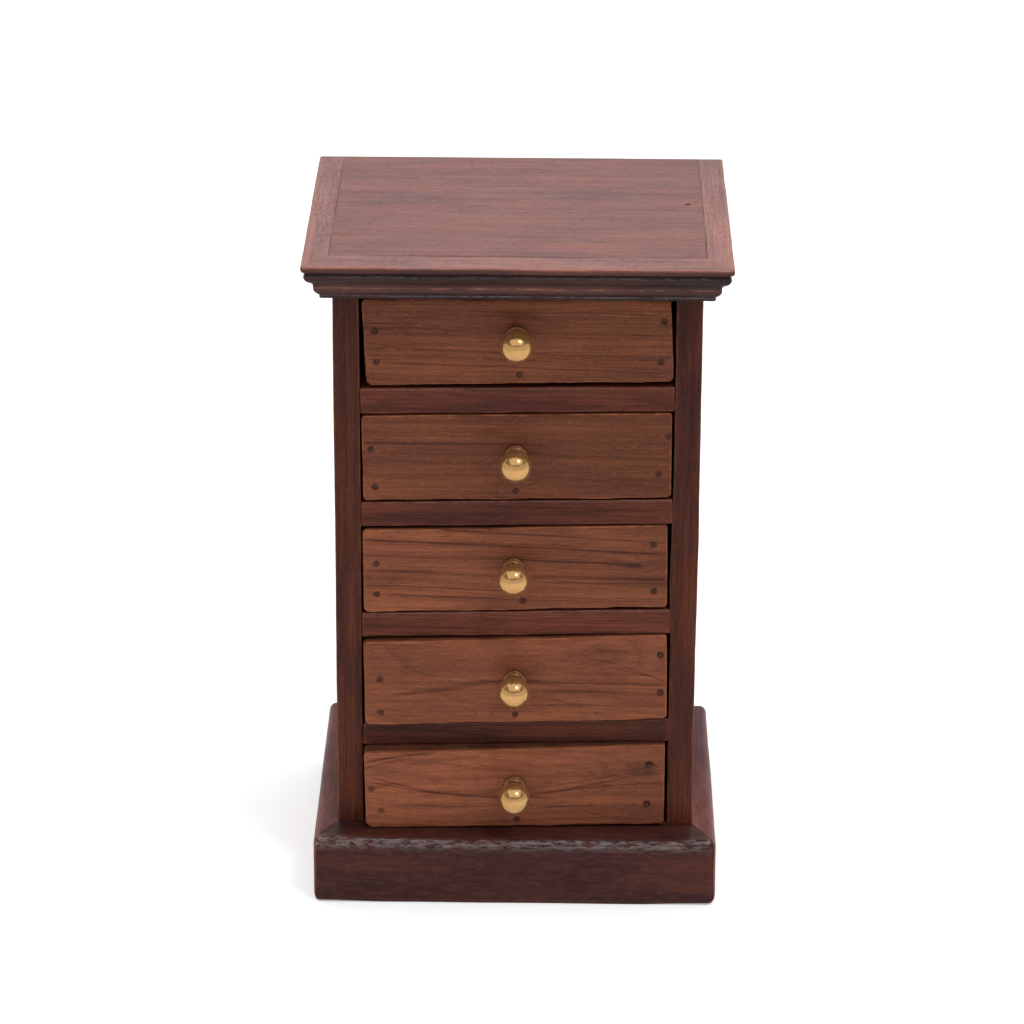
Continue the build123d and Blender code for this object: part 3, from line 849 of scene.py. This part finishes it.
FRONT_WOOD = {
    1: dict(
        seed=1.0, heart=(-10.0, 120.0), lean=(0.0, -0.020), ring=2.0, figure=0.8, tone=0.76, clear=0.9,
        streaks=((-50, 50, 209.5, -0.035, 0.9, 0.55, 0), (3, 56, 209.0, -0.03, 0.8, 0.5, 0),
                 (4, 22, 225.8, -0.02, 1.1, 0.6, 0), (-52, -43, 221.4, 0.0, 0.8, 0.7, 0)),
    ),
    2: dict(
        seed=2.0, heart=(20.0, 90.0), lean=(0.0, -0.006), ring=3.4, figure=0.9, tone=0.63, clear=0.65,
        fade=0.0026,
        streaks=((-56, 10, 178.2, -0.006, 0.7, 0.8, 0), (2, 56, 174.5, -0.02, 0.6, 0.7, 0),
                 (-54, -10, 186.2, -0.01, 1.6, 0.5, 0)),
    ),
    3: dict(
        seed=3.0, heart=(-15.0, 60.0), lean=(0.0, -0.035), ring=2.8, figure=1.1, tone=0.87, clear=0.75,
        fade=0.0030, knots=((43.0, 131.0, 4.2, 1.3, 0.7),),
        streaks=((-56, 56, 140.5, -0.045, 0.8, 0.9, 0), (-30, 56, 144.6, -0.05, 0.7, 0.8, 0),
                 (-56, 40, 134.0, -0.025, 0.7, 0.9, 0), (-56, 56, 127.8, -0.02, 1.3, 0.9, 0),
                 (-56, 20, 122.0, -0.015, 0.4, 0.9, 0), (-50, 50, 118.5, -0.02, 0.5, 0.7, 0),
                 (5, 56, 124.5, -0.01, 0.6, 0.7, 0)),
    ),
    4: dict(
        seed=4.0, heart=(-20.0, 95.0), lean=(-0.10, -0.02), ring=3.6, figure=1.5, tone=0.97, clear=0.65,
        knots=((34.7, 95.5, 7.5, 3.2, 0.15),),
        streaks=((-48, 10, 78.4, 0.095, 1.6, 0.6, 1.3), (8, 56, 83.8, 0.0, 0.7, 0.6, 0.4),
                 (8, 56, 80.5, -0.01, 0.6, 0.5, 0), (5, 56, 76.0, -0.02, 0.6, 0.5, 0),
                 (-20, 56, 73.5, -0.01, 0.5, 0.4, 0), (26, 56, 94.0, -0.32, 0.5, 0.7, 0.9),
                 (37, 56, 89.6, -0.20, 0.5, 0.7, 0), (35, 56, 98.0, -0.27, 0.4, 0.6, 0.4),
                 (23, 33, 94.5, 0.62, 0.5, 0.6, 0.8), (-56, -38, 99.6, -0.05, 0.5, 0.6, 0)),
    ),
    5: dict(
        seed=5.0, heart=(-34.0, 45.0), lean=(0.09, -0.02), ring=2.4, figure=1.1, tone=1.08, clear=0.70,
        fade=0.0028, knots=((47.5, 49.3, 7.5, 3.4, 0.45), (49.0, 50.8, 2.2, 0.7, 0.6)),
        streaks=((-56, -30, 53.1, 0.16, 0.9, 0.8, 0.5), (-56, -40, 50.5, 0.25, 0.7, 0.6, 0.4),
                 (-54, -14, 47.2, -0.19, 0.7, 0.8, -1.7), (-54, 0, 45.0, -0.12, 0.6, 0.7, -1.6),
                 (-50, 34, 35.9, -0.01, 0.4, 0.7, 0), (-18, 12, 39.4, -0.02, 1.0, 0.75, 0),
                 (5, 42, 39.6, 0.19, 0.8, 0.75, -0.6), (6, 40, 42.3, 0.17, 0.4, 0.7, -0.5),
                 (5, 56, 40.3, 0.09, 0.5, 0.7, 0), (8, 48, 34.3, 0.03, 0.4, 0.6, 0.8)),
    ),
}


def front_corners(stray):
    """Moves a front's corners a little, and everything between them in proportion."""
    *corner_moves, proud = stray

    def move(points, shaped, low, high):
        right, _, up = ((points - low) / (high - low)).T
        front = (high[1] - points[:, 1]) / (high[1] - low[1])
        weights = ((1 - right) * up, right * up, (1 - right) * (1 - up), right * (1 - up))
        moved = shaped.copy()
        for weight, (move_right, move_up) in zip(weights, corner_moves):
            moved[:, 0] += weight * move_right * MM
            moved[:, 2] += weight * move_up * MM
        moved[:, 1] -= (0.5 - right) * front * proud * MM
        return moved

    return move


def darkened_top(points, low, high):
    """Darker on a front's upper face, behind its edge."""
    behind = np.clip((points[:, 1] - low[1]) / MM - 0.8, 0, 1)
    return 0.62 * behind * (points[:, 2] >= high[2] - 0.01 * MM)


# A knob, in millimetres: how far each turned part's middle is from the front, and its radii
KNOB_SIDES = 72
KNOB_FOOT = ((0.0, 4.25), (0.12, 4.30), (0.55, 4.30), (0.80, 4.22), (0.92, 4.05))
KNOB_HOLLOW, KNOB_HOLLOW_LEVEL, KNOB_HOLLOW_RADIUS = 2.50, 4.28, 1.58
KNOB_NECK = ((3.4, 2.7), (3.90, 2.72))
KNOB_RING, KNOB_RING_WIDTH, KNOB_RING_RADIUS = 4.54, 0.60, 0.88
KNOB_NECK_RADIUS = 2.7
KNOB_BALL, KNOB_BALL_RADIUS = 10.5, 6.0
KNOB_DROP = {1: 0.25, 2: 0.25, 3: 0.3, 4: 0.6, 5: 0.35}  # how much lower than level the balls look


def knob_outline():
    """The knob's outline from its foot to the ball's end: distance from the front, and radius."""
    outline = list(KNOB_FOOT)
    for n in range(1, 9):  # the hollow between foot and neck
        turn = math.radians(180 + 90 * n / 8)
        outline.append((KNOB_HOLLOW + KNOB_HOLLOW_RADIUS * math.cos(turn),
                        KNOB_HOLLOW_LEVEL + KNOB_HOLLOW_RADIUS * math.sin(turn)))
    outline += KNOB_NECK
    for n in range(1, 8):  # the ring below the ball
        turn = math.pi * n / 8
        outline.append((KNOB_RING - KNOB_RING_WIDTH * math.cos(turn),
                        KNOB_NECK[1][1] + KNOB_RING_RADIUS * math.sin(turn)))
    first = math.asin(KNOB_NECK_RADIUS / KNOB_BALL_RADIUS)
    for n in range(41):
        turn = first + (math.pi - first) * n / 40
        outline.append((KNOB_BALL - KNOB_BALL_RADIUS * math.cos(turn), KNOB_BALL_RADIUS * math.sin(turn)))
    return outline


def knob_tarnish_and_reflection(reach):
    """Tarnish, and a painted reflection of the dark wood, on the foot, round the ring and where the ball
    begins.
    """
    if reach < 3.9:
        return 0.95
    if reach < 5.2:
        return 0.55 + 0.4 * math.exp(-((reach - 5.15) / 0.35) ** 2)
    return 0.95 * math.exp(-(reach - 5.2) / 0.7)


def knob(number, material):
    """A ball knob turned on a lathe: foot, neck, ring and ball."""
    node = f"drawer_{number}_knob"
    low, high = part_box(node)
    middle_x, middle_z = (low.x + high.x) / 2, (low.z + high.z) / 2 - KNOB_DROP[number] * MM
    draw = np.random.default_rng(number)
    outline = knob_outline()
    points, dirt_and_painted_shade = [], []
    for reach, radius in outline:
        radius = max(radius, 0.004) * MM
        for side in range(KNOB_SIDES):
            turn = 2 * math.pi * side / KNOB_SIDES
            points.append((middle_x + radius * math.cos(turn), high.y - reach * MM,
                           middle_z + radius * math.sin(turn)))
        dirt_and_painted_shade += [knob_tarnish_and_reflection(reach)] * KNOB_SIDES
    points = np.array(points)
    points += waves(points, 0.03 * MM, 6 * MM, int(draw.integers(1000)))
    quads = lathe_quads(0, len(outline), KNOB_SIDES, turned=True)
    show(f"knob_{number}", points, np.array(quads), material, f"drawer_{number}", node,
         {"dirt_and_painted_shade": np.array(dirt_and_painted_shade)})


# Each part of a drawer's box: the way its grain runs, and its lattice's steps in millimetres
BOX_PARTS = {
    "side_left": ("Y", (2.5, 2.5, 2.5)),
    "side_right": ("Y", (2.5, 2.5, 2.5)),
    "back": ("X", (2.5, 2.5, 2.5)),
    "bottom": ("X", (3, 3, 2.5)),
}


def drawer(number, metals):
    """One drawer: its front, box, pins, knob and screw."""
    body = f"drawer_{number}"
    heads = pin_heads(f"{body}_pins")
    front = wood(f"{body}_front_wood", "front", "X", **FRONT_WOOD[number])
    board(f"{body}_front_board", f"{body}_front", body, front, radius=0.9,
          wobble=0.22, heads=heads, bend=leaned, corners=front_corners(FRONT_STRAY[number]),
          turned=FRONT_TURNS[number], steps=(1.2, 2.5, 1.2), worn=0.8, darkening=darkened_top)
    for part, (grain, steps) in BOX_PARTS.items():
        seed = number * 4.3 + len(part) * 1.7
        material = wood(f"{body}_{part}_wood", "box", grain, seed, heart=(-30.0 + seed, -40.0),
                        lean=(0.02, 0.01), ring=3.0)
        board(f"{body}_{part}_board", f"{body}_{part}", body, material,
              radius=0.45, wobble=0.1, heads=heads, bend=leaned, steps=steps)
    pins(f"{body}_pin_set", f"{body}_pins", body, metals["pin"], bend=leaned)
    knob(number, metals["brass"])
    screw = frame["nodes"][f"{body}_knob_screw"]
    screw.data.materials.clear()
    screw.data.materials.append(metals["screw"])


# ---- case

INNER = 56.75 * MM  # from the middle to a side panel's inner face
SHELF_GAP = 0.1 * MM
# Rail 4's darker tone is painted shade under the proud fourth drawer
RAIL_TONES = {1: 1.15, 2: 1.02, 3: 1.12, 4: 0.72}


def swollen_right(points):
    """The right upright stands in a little beside the middle drawer."""
    moved = points.copy()
    near = np.exp(-((points[:, 2] / MM - 128) / 17) ** 2) * (points[:, 0] < 60 * MM)
    moved[:, 0] -= 0.75 * MM * near
    return moved


def case(metals):
    """Side panels, shelves, the boards above and below, and the back panel."""
    heads = pin_heads("case_pins") + pin_heads("back_panel_pins")
    for side, seed in (("left", 11.0), ("right", 12.0)):
        # The side panels darken towards the top: painted shade under the cornice
        material = wood(f"case_side_{side}_wood", "case", "Z", seed, heart=(0.0, -110.0),
                        lean=(0.03, 0.02), ring=2.6, figure=1.2, tone=0.94, fade=0.0014)
        board(f"case_side_{side}_panel", f"case_side_{side}", "case", material, step=2.5,
              wobble=0.18, heads=heads, bend=swollen_right if side == "right" else None)
    for number, tone in RAIL_TONES.items():
        node = f"shelf_{number}"
        low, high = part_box(node)
        material = wood(f"{node}_wood", "case", "X", 20.0 + number, heart=(40.0, -60.0),
                        lean=(0.02, -0.02), ring=2.8, figure=1.3, tone=tone)
        board(f"{node}_board", node, "case", material, radius=0.55, wobble=0.12, bend=leaned,
              low=(-INNER + SHELF_GAP, low.y, low.z), high=(INNER - SHELF_GAP, high.y, high.z),
              gloss=upper_front_edge(0.6), steps=(1.6, 4.0, 1.6))
    for node, seed in (("bottom_board", 31.0), ("case_top", 32.0)):
        low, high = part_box(node)
        material = wood(f"{node}_wood", "case", "X", seed, heart=(40.0, -60.0), ring=2.8)
        board(f"{node}_piece", node, "case", material, radius=0.5, wobble=0.1,
              low=(-INNER, low.y, low.z), high=(INNER, high.y, high.z), step=4.0)
    panel = wood("back_panel_wood", "panel", "Z", 41.0, heart=(-20.0, -70.0), lean=(0.04, 0.02),
                 ring=4.2, figure=1.6)
    board("back_panel_board", "back_panel", "case", panel, radius=0.4, step=2.5,
          wobble=0.2, heads=heads)
    pins("case_pin_set", "case_pins", "case", metals["pin"])
    pins("back_panel_pin_set", "back_panel_pins", "case", metals["pin"])


# ---- strips


def lengthwise(ends, margin, count):
    """Shares along a strip: close together at both ends, then evenly spaced."""
    ends = np.array(ends)
    return np.concatenate([ends, np.linspace(margin, 1 - margin, count), 1 - ends[::-1]])


def mitred(share, hand, half, front, back, side_depth, front_depth, gap):
    """Where a strip's points lie in plan, with its ends cut at the front corners.

    share runs along the strip, and hand is -1 or 1 for a side strip and 0 for the front one. The
    depths say how far each point is behind the outer face, on the sides and at the front.
    """
    if hand == 0:
        return (2 * share - 1) * (half - side_depth - gap), front + front_depth
    run = share if hand < 0 else 1 - share  # from the back to the front
    return hand * (half - side_depth), back + (front + front_depth + gap - back) * run


# ---- base strips

BASE_HALF = 74.9 * MM
BASE_FRONT = -59.4 * MM
BASE_BACK = 63.2 * MM
BASE_HEIGHT = 26.1 * MM
BASE_TOP_ROUND = 3.0 * MM
BASE_GAP = 0.06 * MM
CASE_HALF = 66.25 * MM
CASE_FRONT = -43.4 * MM
BASE_DEPTH = 16.0 * MM  # the front strip's, from its face to the case

BASE_ALONG = lengthwise((0, 0.003, 0.008, 0.014, 0.02, 0.03), 0.04, 90)
BASE_INWARD = np.array([0, 0.01, 0.03, 0.06, 0.10, 0.15, 0.20, 0.30, 0.45, 0.62, 0.8, 0.92, 1.0])
BASE_LEVELS = (0, 0.15, 0.5, 1.0, 1.6, 2.4, 3.4, 5, 7, 9, 11, 13, 15, 17, 19, 21)
BASE_BELOW_TOP = (0, 0.12, 0.4, 0.8, 1.3, 1.9, 2.6, 3.4)


def base_rounded(points, seed):
    """Rounds the whole base's outer edges: generous above and at the corners, small at the foot."""
    low = np.array((-BASE_HALF, BASE_FRONT, 0.0))
    high = np.array((BASE_HALF, BASE_BACK, BASE_HEIGHT))
    change = 1 + 0.16 * ripple(points, 45 * MM, seed) + 0.02 * ripple(points, 12 * MM, seed + 1)
    risen = np.clip(points[:, 2] / (8 * MM), 0, 1)
    radius = BASE_TOP_ROUND * np.clip(change, 0.5, 1.6) * (0.62 + 0.38 * risen)
    return rounded(points, low, high, radius)


def worn_foot(square, shaped):
    """Wears in the foot at the outer corners, and lifts the front strip's ends off the floor."""
    outward = np.abs(square[:, 0])
    foot = np.clip(1 - square[:, 2] / (4.0 * MM), 0, 1) ** 2 * 0.9 * MM
    shaped[:, 0] -= np.sign(square[:, 0]) * foot * np.clip((outward - 66 * MM) / (8 * MM), 0, 1)
    return 0.55 * MM * np.clip((outward - 48 * MM) / (20 * MM), 0, 1) * (square[:, 1] < -50 * MM)


def base_strip(name, node, material, hand, seed, heads=()):
    """One base strip. hand is -1 or 1 for a side strip and 0 for the front one."""
    height = BASE_HEIGHT / MM
    up = np.array(sorted({*BASE_LEVELS, *(height - below for below in BASE_BELOW_TOP)})) / height
    points, quads = lattice(BASE_ALONG, BASE_INWARD, up)
    along, inward = points[:, 0], points[:, 1]
    x, y = mitred(along, hand, BASE_HALF, BASE_FRONT, BASE_BACK, inward * (BASE_HALF - CASE_HALF),
                  inward * (CASE_FRONT - BASE_FRONT), BASE_GAP)
    square = np.stack([x, y, points[:, 2] * BASE_HEIGHT], 1)
    shaped = base_rounded(square, seed)
    shaped += waves(square, 0.24 * MM, 55 * MM, seed + 2) + waves(square, 0.03 * MM, 14 * MM, seed + 3)
    lift = worn_foot(square, shaped)
    shaped, dirt_and_painted_shade = punched(shaped, heads)
    shaped[:, 2] = np.where(points[:, 2] <= 0, lift, shaped[:, 2])
    shaped = np.clip(shaped, CAD_LOW, CAD_HIGH)
    below = BASE_HEIGHT - square[:, 2]
    inside = inward * BASE_DEPTH
    wear = np.exp(-np.abs(below - 1.0 * MM) / (1.6 * MM)) * (inward < 0.12)
    gloss = np.exp(-((np.hypot(below, inside) - 1.5 * MM) / (1.7 * MM)) ** 2)
    gloss *= 0.9 if hand == 0 else 0.0
    # Darker along the corner where the base's top meets the case: painted shade
    corner = 0.55 * np.exp(-(BASE_DEPTH - inside) / (0.9 * MM)) * (below < 0.5 * MM)
    show(name, shaped, quads, material, "case", node,
         {"wear": wear, "dirt_and_painted_shade": np.maximum(dirt_and_painted_shade, corner), "gloss": gloss})


def base():
    """The three strips round the foot, mitred at the front corners."""
    front = wood("base_front_wood", "base", "X", 51.0, heart=(30.0, -70.0), lean=(0.03, -0.05),
                 ring=4.0, figure=1.8, coat=(0.24, 2.1), beads=(4.5, 1.2), tone=1.04)
    edge_pin = [(place, facing, length) for place, facing, length in pin_heads("strip_pins")
                if facing[1] < -0.5 and 20 * MM < place[2] < 30 * MM and place[0] < 0]
    base_strip("base_front_strip", "base_front", front, 0, 501, heads=edge_pin)
    for side, hand, seed in (("left", -1, 52.0), ("right", 1, 53.0)):
        material = wood(f"base_{side}_wood", "base", "Y", seed, heart=(-60.0, 30.0), lean=(0.02, 0.02),
                        ring=3.4, figure=1.4, tone=3.3, shine=0.12)
        base_strip(f"base_{side}_strip", f"base_{side}", material, hand, int(seed) * 10)


# ---- top

TOP_HALF = 76.2 * MM
TOP_FRONT = -65.0 * MM
TOP_BACK = 65.0 * MM
CORNICE_FOOT = 238.6 * MM
CORNICE_HEIGHT = 13.4  # in millimetres
CORNICE_SIDE_DEPTH = 9.3 * MM  # from the lip to the top board's edge
CORNICE_FRONT_DEPTH = 14.0 * MM
CORNICE_GAP = 0.05 * MM
LIP_FOOT = 11.3  # how high above the foot the lip begins, in millimetres

CORNICE_ALONG = lengthwise((0, 0.002, 0.006, 0.012, 0.02), 0.03, 110)
CORNICE_INWARD = np.array([0, 0.02, 0.05, 0.1, 0.2, 0.35, 0.5, 0.65, 0.8, 0.92, 0.97, 0.99, 1.0])

# The moulding from the lip down: height above the foot and setback from the lip, in millimetres
MOULDING = (
    (13.40, 0.70), (13.32, 0.38), (13.12, 0.14), (12.80, 0.02), (12.2, 0.0), (11.70, 0.03),
    (11.45, 0.16), (11.32, 0.45), (11.15, 1.0), (10.85, 1.45), (10.55, 1.60), (10.25, 1.50),
    (9.90, 1.22), (9.65, 1.02), (9.35, 1.0), (9.0, 1.05), (8.5, 1.22), (8.0, 1.50), (7.5, 1.95),
    (7.0, 2.55), (6.65, 3.15), (6.50, 3.4), (6.30, 3.55), (5.95, 3.9), (5.70, 4.1), (5.5, 4.15),
    (4.6, 4.2), (3.9, 4.25), (3.6, 4.3), (3.3, 4.42), (2.8, 4.7), (2.3, 5.15), (1.9, 5.6),
    (1.6, 5.92), (1.42, 6.1), (1.30, 6.25), (1.15, 6.28), (0.7, 6.3), (0.15, 6.35), (0.0, 6.5),
)

# Where the moulding's edges are worn: height above the foot in millimetres, and how much
WORN_EDGES = ((13.4, 0.9), (11.6, 0.2), (9.35, 0.15), (6.4, 0.2), (4.6, 0.72), (3.4, 0.5), (0.0, 0.1))


def setback(height):
    """How far the moulding steps back at a height above its foot."""
    heights, steps = zip(*reversed(MOULDING))
    return np.interp(height / MM, heights, steps) * MM


def turned_moulding(square, recess, radius):
    """Rounds the moulding's front corners in plan."""
    radius = radius[:, None]
    low = np.stack([recess - TOP_HALF, TOP_FRONT + recess], 1)
    high = np.stack([TOP_HALF - recess, np.full(len(recess), TOP_BACK + 1.0)], 1)
    moved = square.copy()
    moved[:, :2] = round_about(np.clip(square[:, :2], low + radius, high - radius), square[:, :2])
    return moved


def line_at(level, height, width):
    """A soft line along the moulding at a height above its foot, in millimetres."""
    return np.exp(-np.abs(level - height) / width)


def moulding_looks(level, share, upper, front):
    """Wear, dirt, painted shade, stain and gloss. level is in millimetres, share runs from the face
    inward.
    """
    outer = share < 0.03
    worn = np.zeros(len(level))
    for height, strength in WORN_EDGES:
        worn = np.maximum(worn, strength * line_at(level, height, 0.45))
    worn = np.maximum(worn * outer, upper * np.exp(-share * 12 / 0.8) * 0.9)
    # Darker in the groove under the lip and along the moulding's foot: painted shade
    groove = 0.5 * line_at(level, 10.55, 0.35) * outer + line_at(level, 0.0, 0.3) * outer * 0.5
    joint = np.where(share > 0.985, 0.30 if front else 0.55, 0.0)
    stain = np.clip((13.15 - level) / 0.5, 0, 1) * (share < 0.9)
    stain *= 1 - 0.15 * (level > LIP_FOOT) - 0.25 * np.exp(-((level - 4.4) / 1.4) ** 2)
    ledges = np.maximum(0.75 * line_at(level, 9.75, 0.14), 0.7 * line_at(level, 1.2, 0.12))
    gloss = np.maximum(ledges * outer, 0.25 * upper * (share > 0.01))
    return {"wear": worn, "dirt_and_painted_shade": np.maximum(groove, joint), "stain": stain, "gloss": gloss}


def cornice_strip(name, node, material, hand, seed):
    """One moulded strip. hand is -1 or 1 for a side strip and 0 for the front one."""
    heights = np.array(sorted(height for height, _ in MOULDING)) / CORNICE_HEIGHT
    points, quads = lattice(CORNICE_ALONG, CORNICE_INWARD, heights)
    along, share, upper = points[:, 0], points[:, 1], points[:, 2] >= 1
    level = points[:, 2] * CORNICE_HEIGHT * MM
    recess = setback(level)
    # The outer face follows the moulding, and the inner one is the joint with the top board
    side_depth, front_depth = (recess + (depth - recess) * share
                               for depth in (CORNICE_SIDE_DEPTH, CORNICE_FRONT_DEPTH))
    x, y = mitred(along, hand, TOP_HALF, TOP_FRONT, TOP_BACK, side_depth, front_depth, CORNICE_GAP)
    square = np.stack([x, y, CORNICE_FOOT + level], 1)
    shaped = turned_moulding(square, recess, np.where(level > 11.2 * MM, 1.7 * MM, 0.8 * MM))
    # A fine groove along the joint
    shaped[:, 2] -= np.where(upper & (share >= 1), (0.06 if hand == 0 else 0.16) * MM, 0.0)
    chips = np.clip(ripple(square, 5 * MM, seed + 7) - 0.75, 0, 1)
    chips = chips * (level > LIP_FOOT * MM) * (share < 0.05)
    shaped += waves(square, 0.16 * MM, 35 * MM, seed) + waves(square, 0.07 * MM, 6 * MM, seed + 1)
    inward = np.array((0.0, 1.0, 0.0) if hand == 0 else (-hand, 0.0, 0.0))
    shaped += np.outer(chips * 0.6 * MM, inward)
    shaped = np.clip(shaped, CAD_LOW, CAD_HIGH)
    show(name, shaped, quads, material, "case", node,
         moulding_looks(level / MM, share, upper, hand == 0))


def top(metals):
    """The top board and the moulded strips round it."""
    seen = [(place, facing, length) for place, facing, length in pin_heads("case_pins")
            if facing[2] > 0.5 and place[0] > 0 and abs(place[1] - 10 * MM) < 5 * MM]
    material = wood("top_board_wood", "top", "X_flat", 61.0, heart=(130.0, 15.0), lean=(0.02, 0.02),
                    ring=3.0, figure=1.4, tone=1.12, knots=((-55.3, -25.1, 1.1, 0.5, 0.7),),
                    streaks=((-60, -18, 8.0, 0.02, 3.0, 0.35, 0), (-10, 40, 22.0, -0.01, 2.0, 0.3, 0)))
    board("top_board_piece", "top_board", "case", material, radius=0.10, wobble=0.12,
          heads=seen, steps=(1.8, 1.8, 3.0), worn=0.0, seam=0.35)
    front = wood("cornice_front_wood", "cornice", "X", 62.0, heart=(20.0, 200.0), ring=2.6, figure=1.2)
    cornice_strip("cornice_front_strip", "cornice_front", front, 0, 620)
    for side, hand, seed in (("left", -1, 63.0), ("right", 1, 64.0)):
        strip = wood(f"cornice_{side}_wood", "cornice", "Y", seed, heart=(200.0, 20.0), ring=2.8,
                     figure=1.2)
        cornice_strip(f"cornice_{side}_strip", f"cornice_{side}", strip, hand, int(seed) * 10)
    pins("strip_pin_set", "strip_pins", "case", metals["pin"])


# ---- floor and light

FLOOR_GLOW = 0.30
FLOOR_HALF = 14.0
FLOOR_DROP = 0.2 * MM  # how far the floor is below the foot
FLOOR_COLOURS = ((0.90, 0.90, 0.905), (0.93, 0.93, 0.93))
WALL_EDGE = 0.36  # the sine of the height up to which the surroundings are pale on every side
WALL_SOFT = 0.03
WALL_BRIGHT = 0.95
WORLD_COLOUR = (0.975, 0.985, 1.0, 1.0)
WORLD_DIM = 0.20
WORLD_BRIGHT = 1.05
LIT_PLACE = (0.0, 0.0, 0.12)


def floor():
    """A wide plain pale floor."""
    s = Shader(bpy.data.materials.new("floor_white"))
    cloud = s.noise(s.scaled(s.add("ShaderNodeTexCoord", {}, "Object"), 3.0), 3.0, 0.5)
    material = s.finish({"Base Color": s.mix(cloud, *FLOOR_COLOURS), "Roughness": 0.9,
                         "Specular IOR Level": 0.1, "Emission Color": (1.0, 1.0, 1.0, 1.0),
                         "Emission Strength": FLOOR_GLOW})
    mesh = bpy.data.meshes.new("floor")
    corners = [(x * FLOOR_HALF, y * FLOOR_HALF, 0) for x, y in ((-1, -1), (1, -1), (1, 1), (-1, 1))]
    mesh.from_pydata(corners, [], [(0, 1, 2, 3)])
    mesh.materials.append(material)
    plane = added("floor", mesh)
    plane.location.z = -FLOOR_DROP


def area_light(name, place, width, height, power):
    """A white light of that size in metres, turned to the object."""
    data = bpy.data.lights.new(name, "AREA")
    data.shape = "RECTANGLE"
    data.size, data.size_y = width, height
    data.energy = power
    light = added(name, data)
    light.location = place
    light.rotation_euler = (Vector(LIT_PLACE) - Vector(place)).to_track_quat("-Z", "Y").to_euler()


def world():
    """A pale studio: bright behind the object, dim behind the camera."""
    s = Shader(bpy.data.worlds.new("studio"))
    _, behind, height = s.parts(s.add("ShaderNodeTexCoord", {}, "Generated"))
    sky = s.blend(behind, -0.25, 0.55, WORLD_DIM, WORLD_BRIGHT)
    wall = s.blend(height, WALL_EDGE - WALL_SOFT, WALL_EDGE + WALL_SOFT, WALL_BRIGHT, 0.0)
    inputs = {"Color": WORLD_COLOUR, "Strength": s.math("MAXIMUM", sky, wall)}
    background = s.add("ShaderNodeBackground", inputs)
    s.add("ShaderNodeOutputWorld", {"Surface": background})
    bpy.context.scene.world = s.owner


def lights():
    """The surroundings, a wide light overhead and a small bright one."""
    world()
    area_light("overhead", (0.05, -0.40, 1.40), 2.4, 2.2, 18)
    area_light("key", (0.5, -0.7, 1.35), 0.3, 0.3, 4.5)
    bpy.context.scene.view_settings.view_transform = "Standard"
    bpy.context.scene.view_settings.look = "None"


# ---- build

make_camera()
floor()
lights()
METALS = {
    "brass": brass(),
    "pin": steel("pin_steel", (0.085, 0.036, 0.026), (0.060, 0.024, 0.017), 0.25, shine=0.12),
    "screw": steel("screw_steel", (0.42, 0.40, 0.37), (0.12, 0.055, 0.03), 0.60),
}
case(METALS)
base()
top(METALS)
for drawer_number in DRAWERS:
    drawer(drawer_number, METALS)
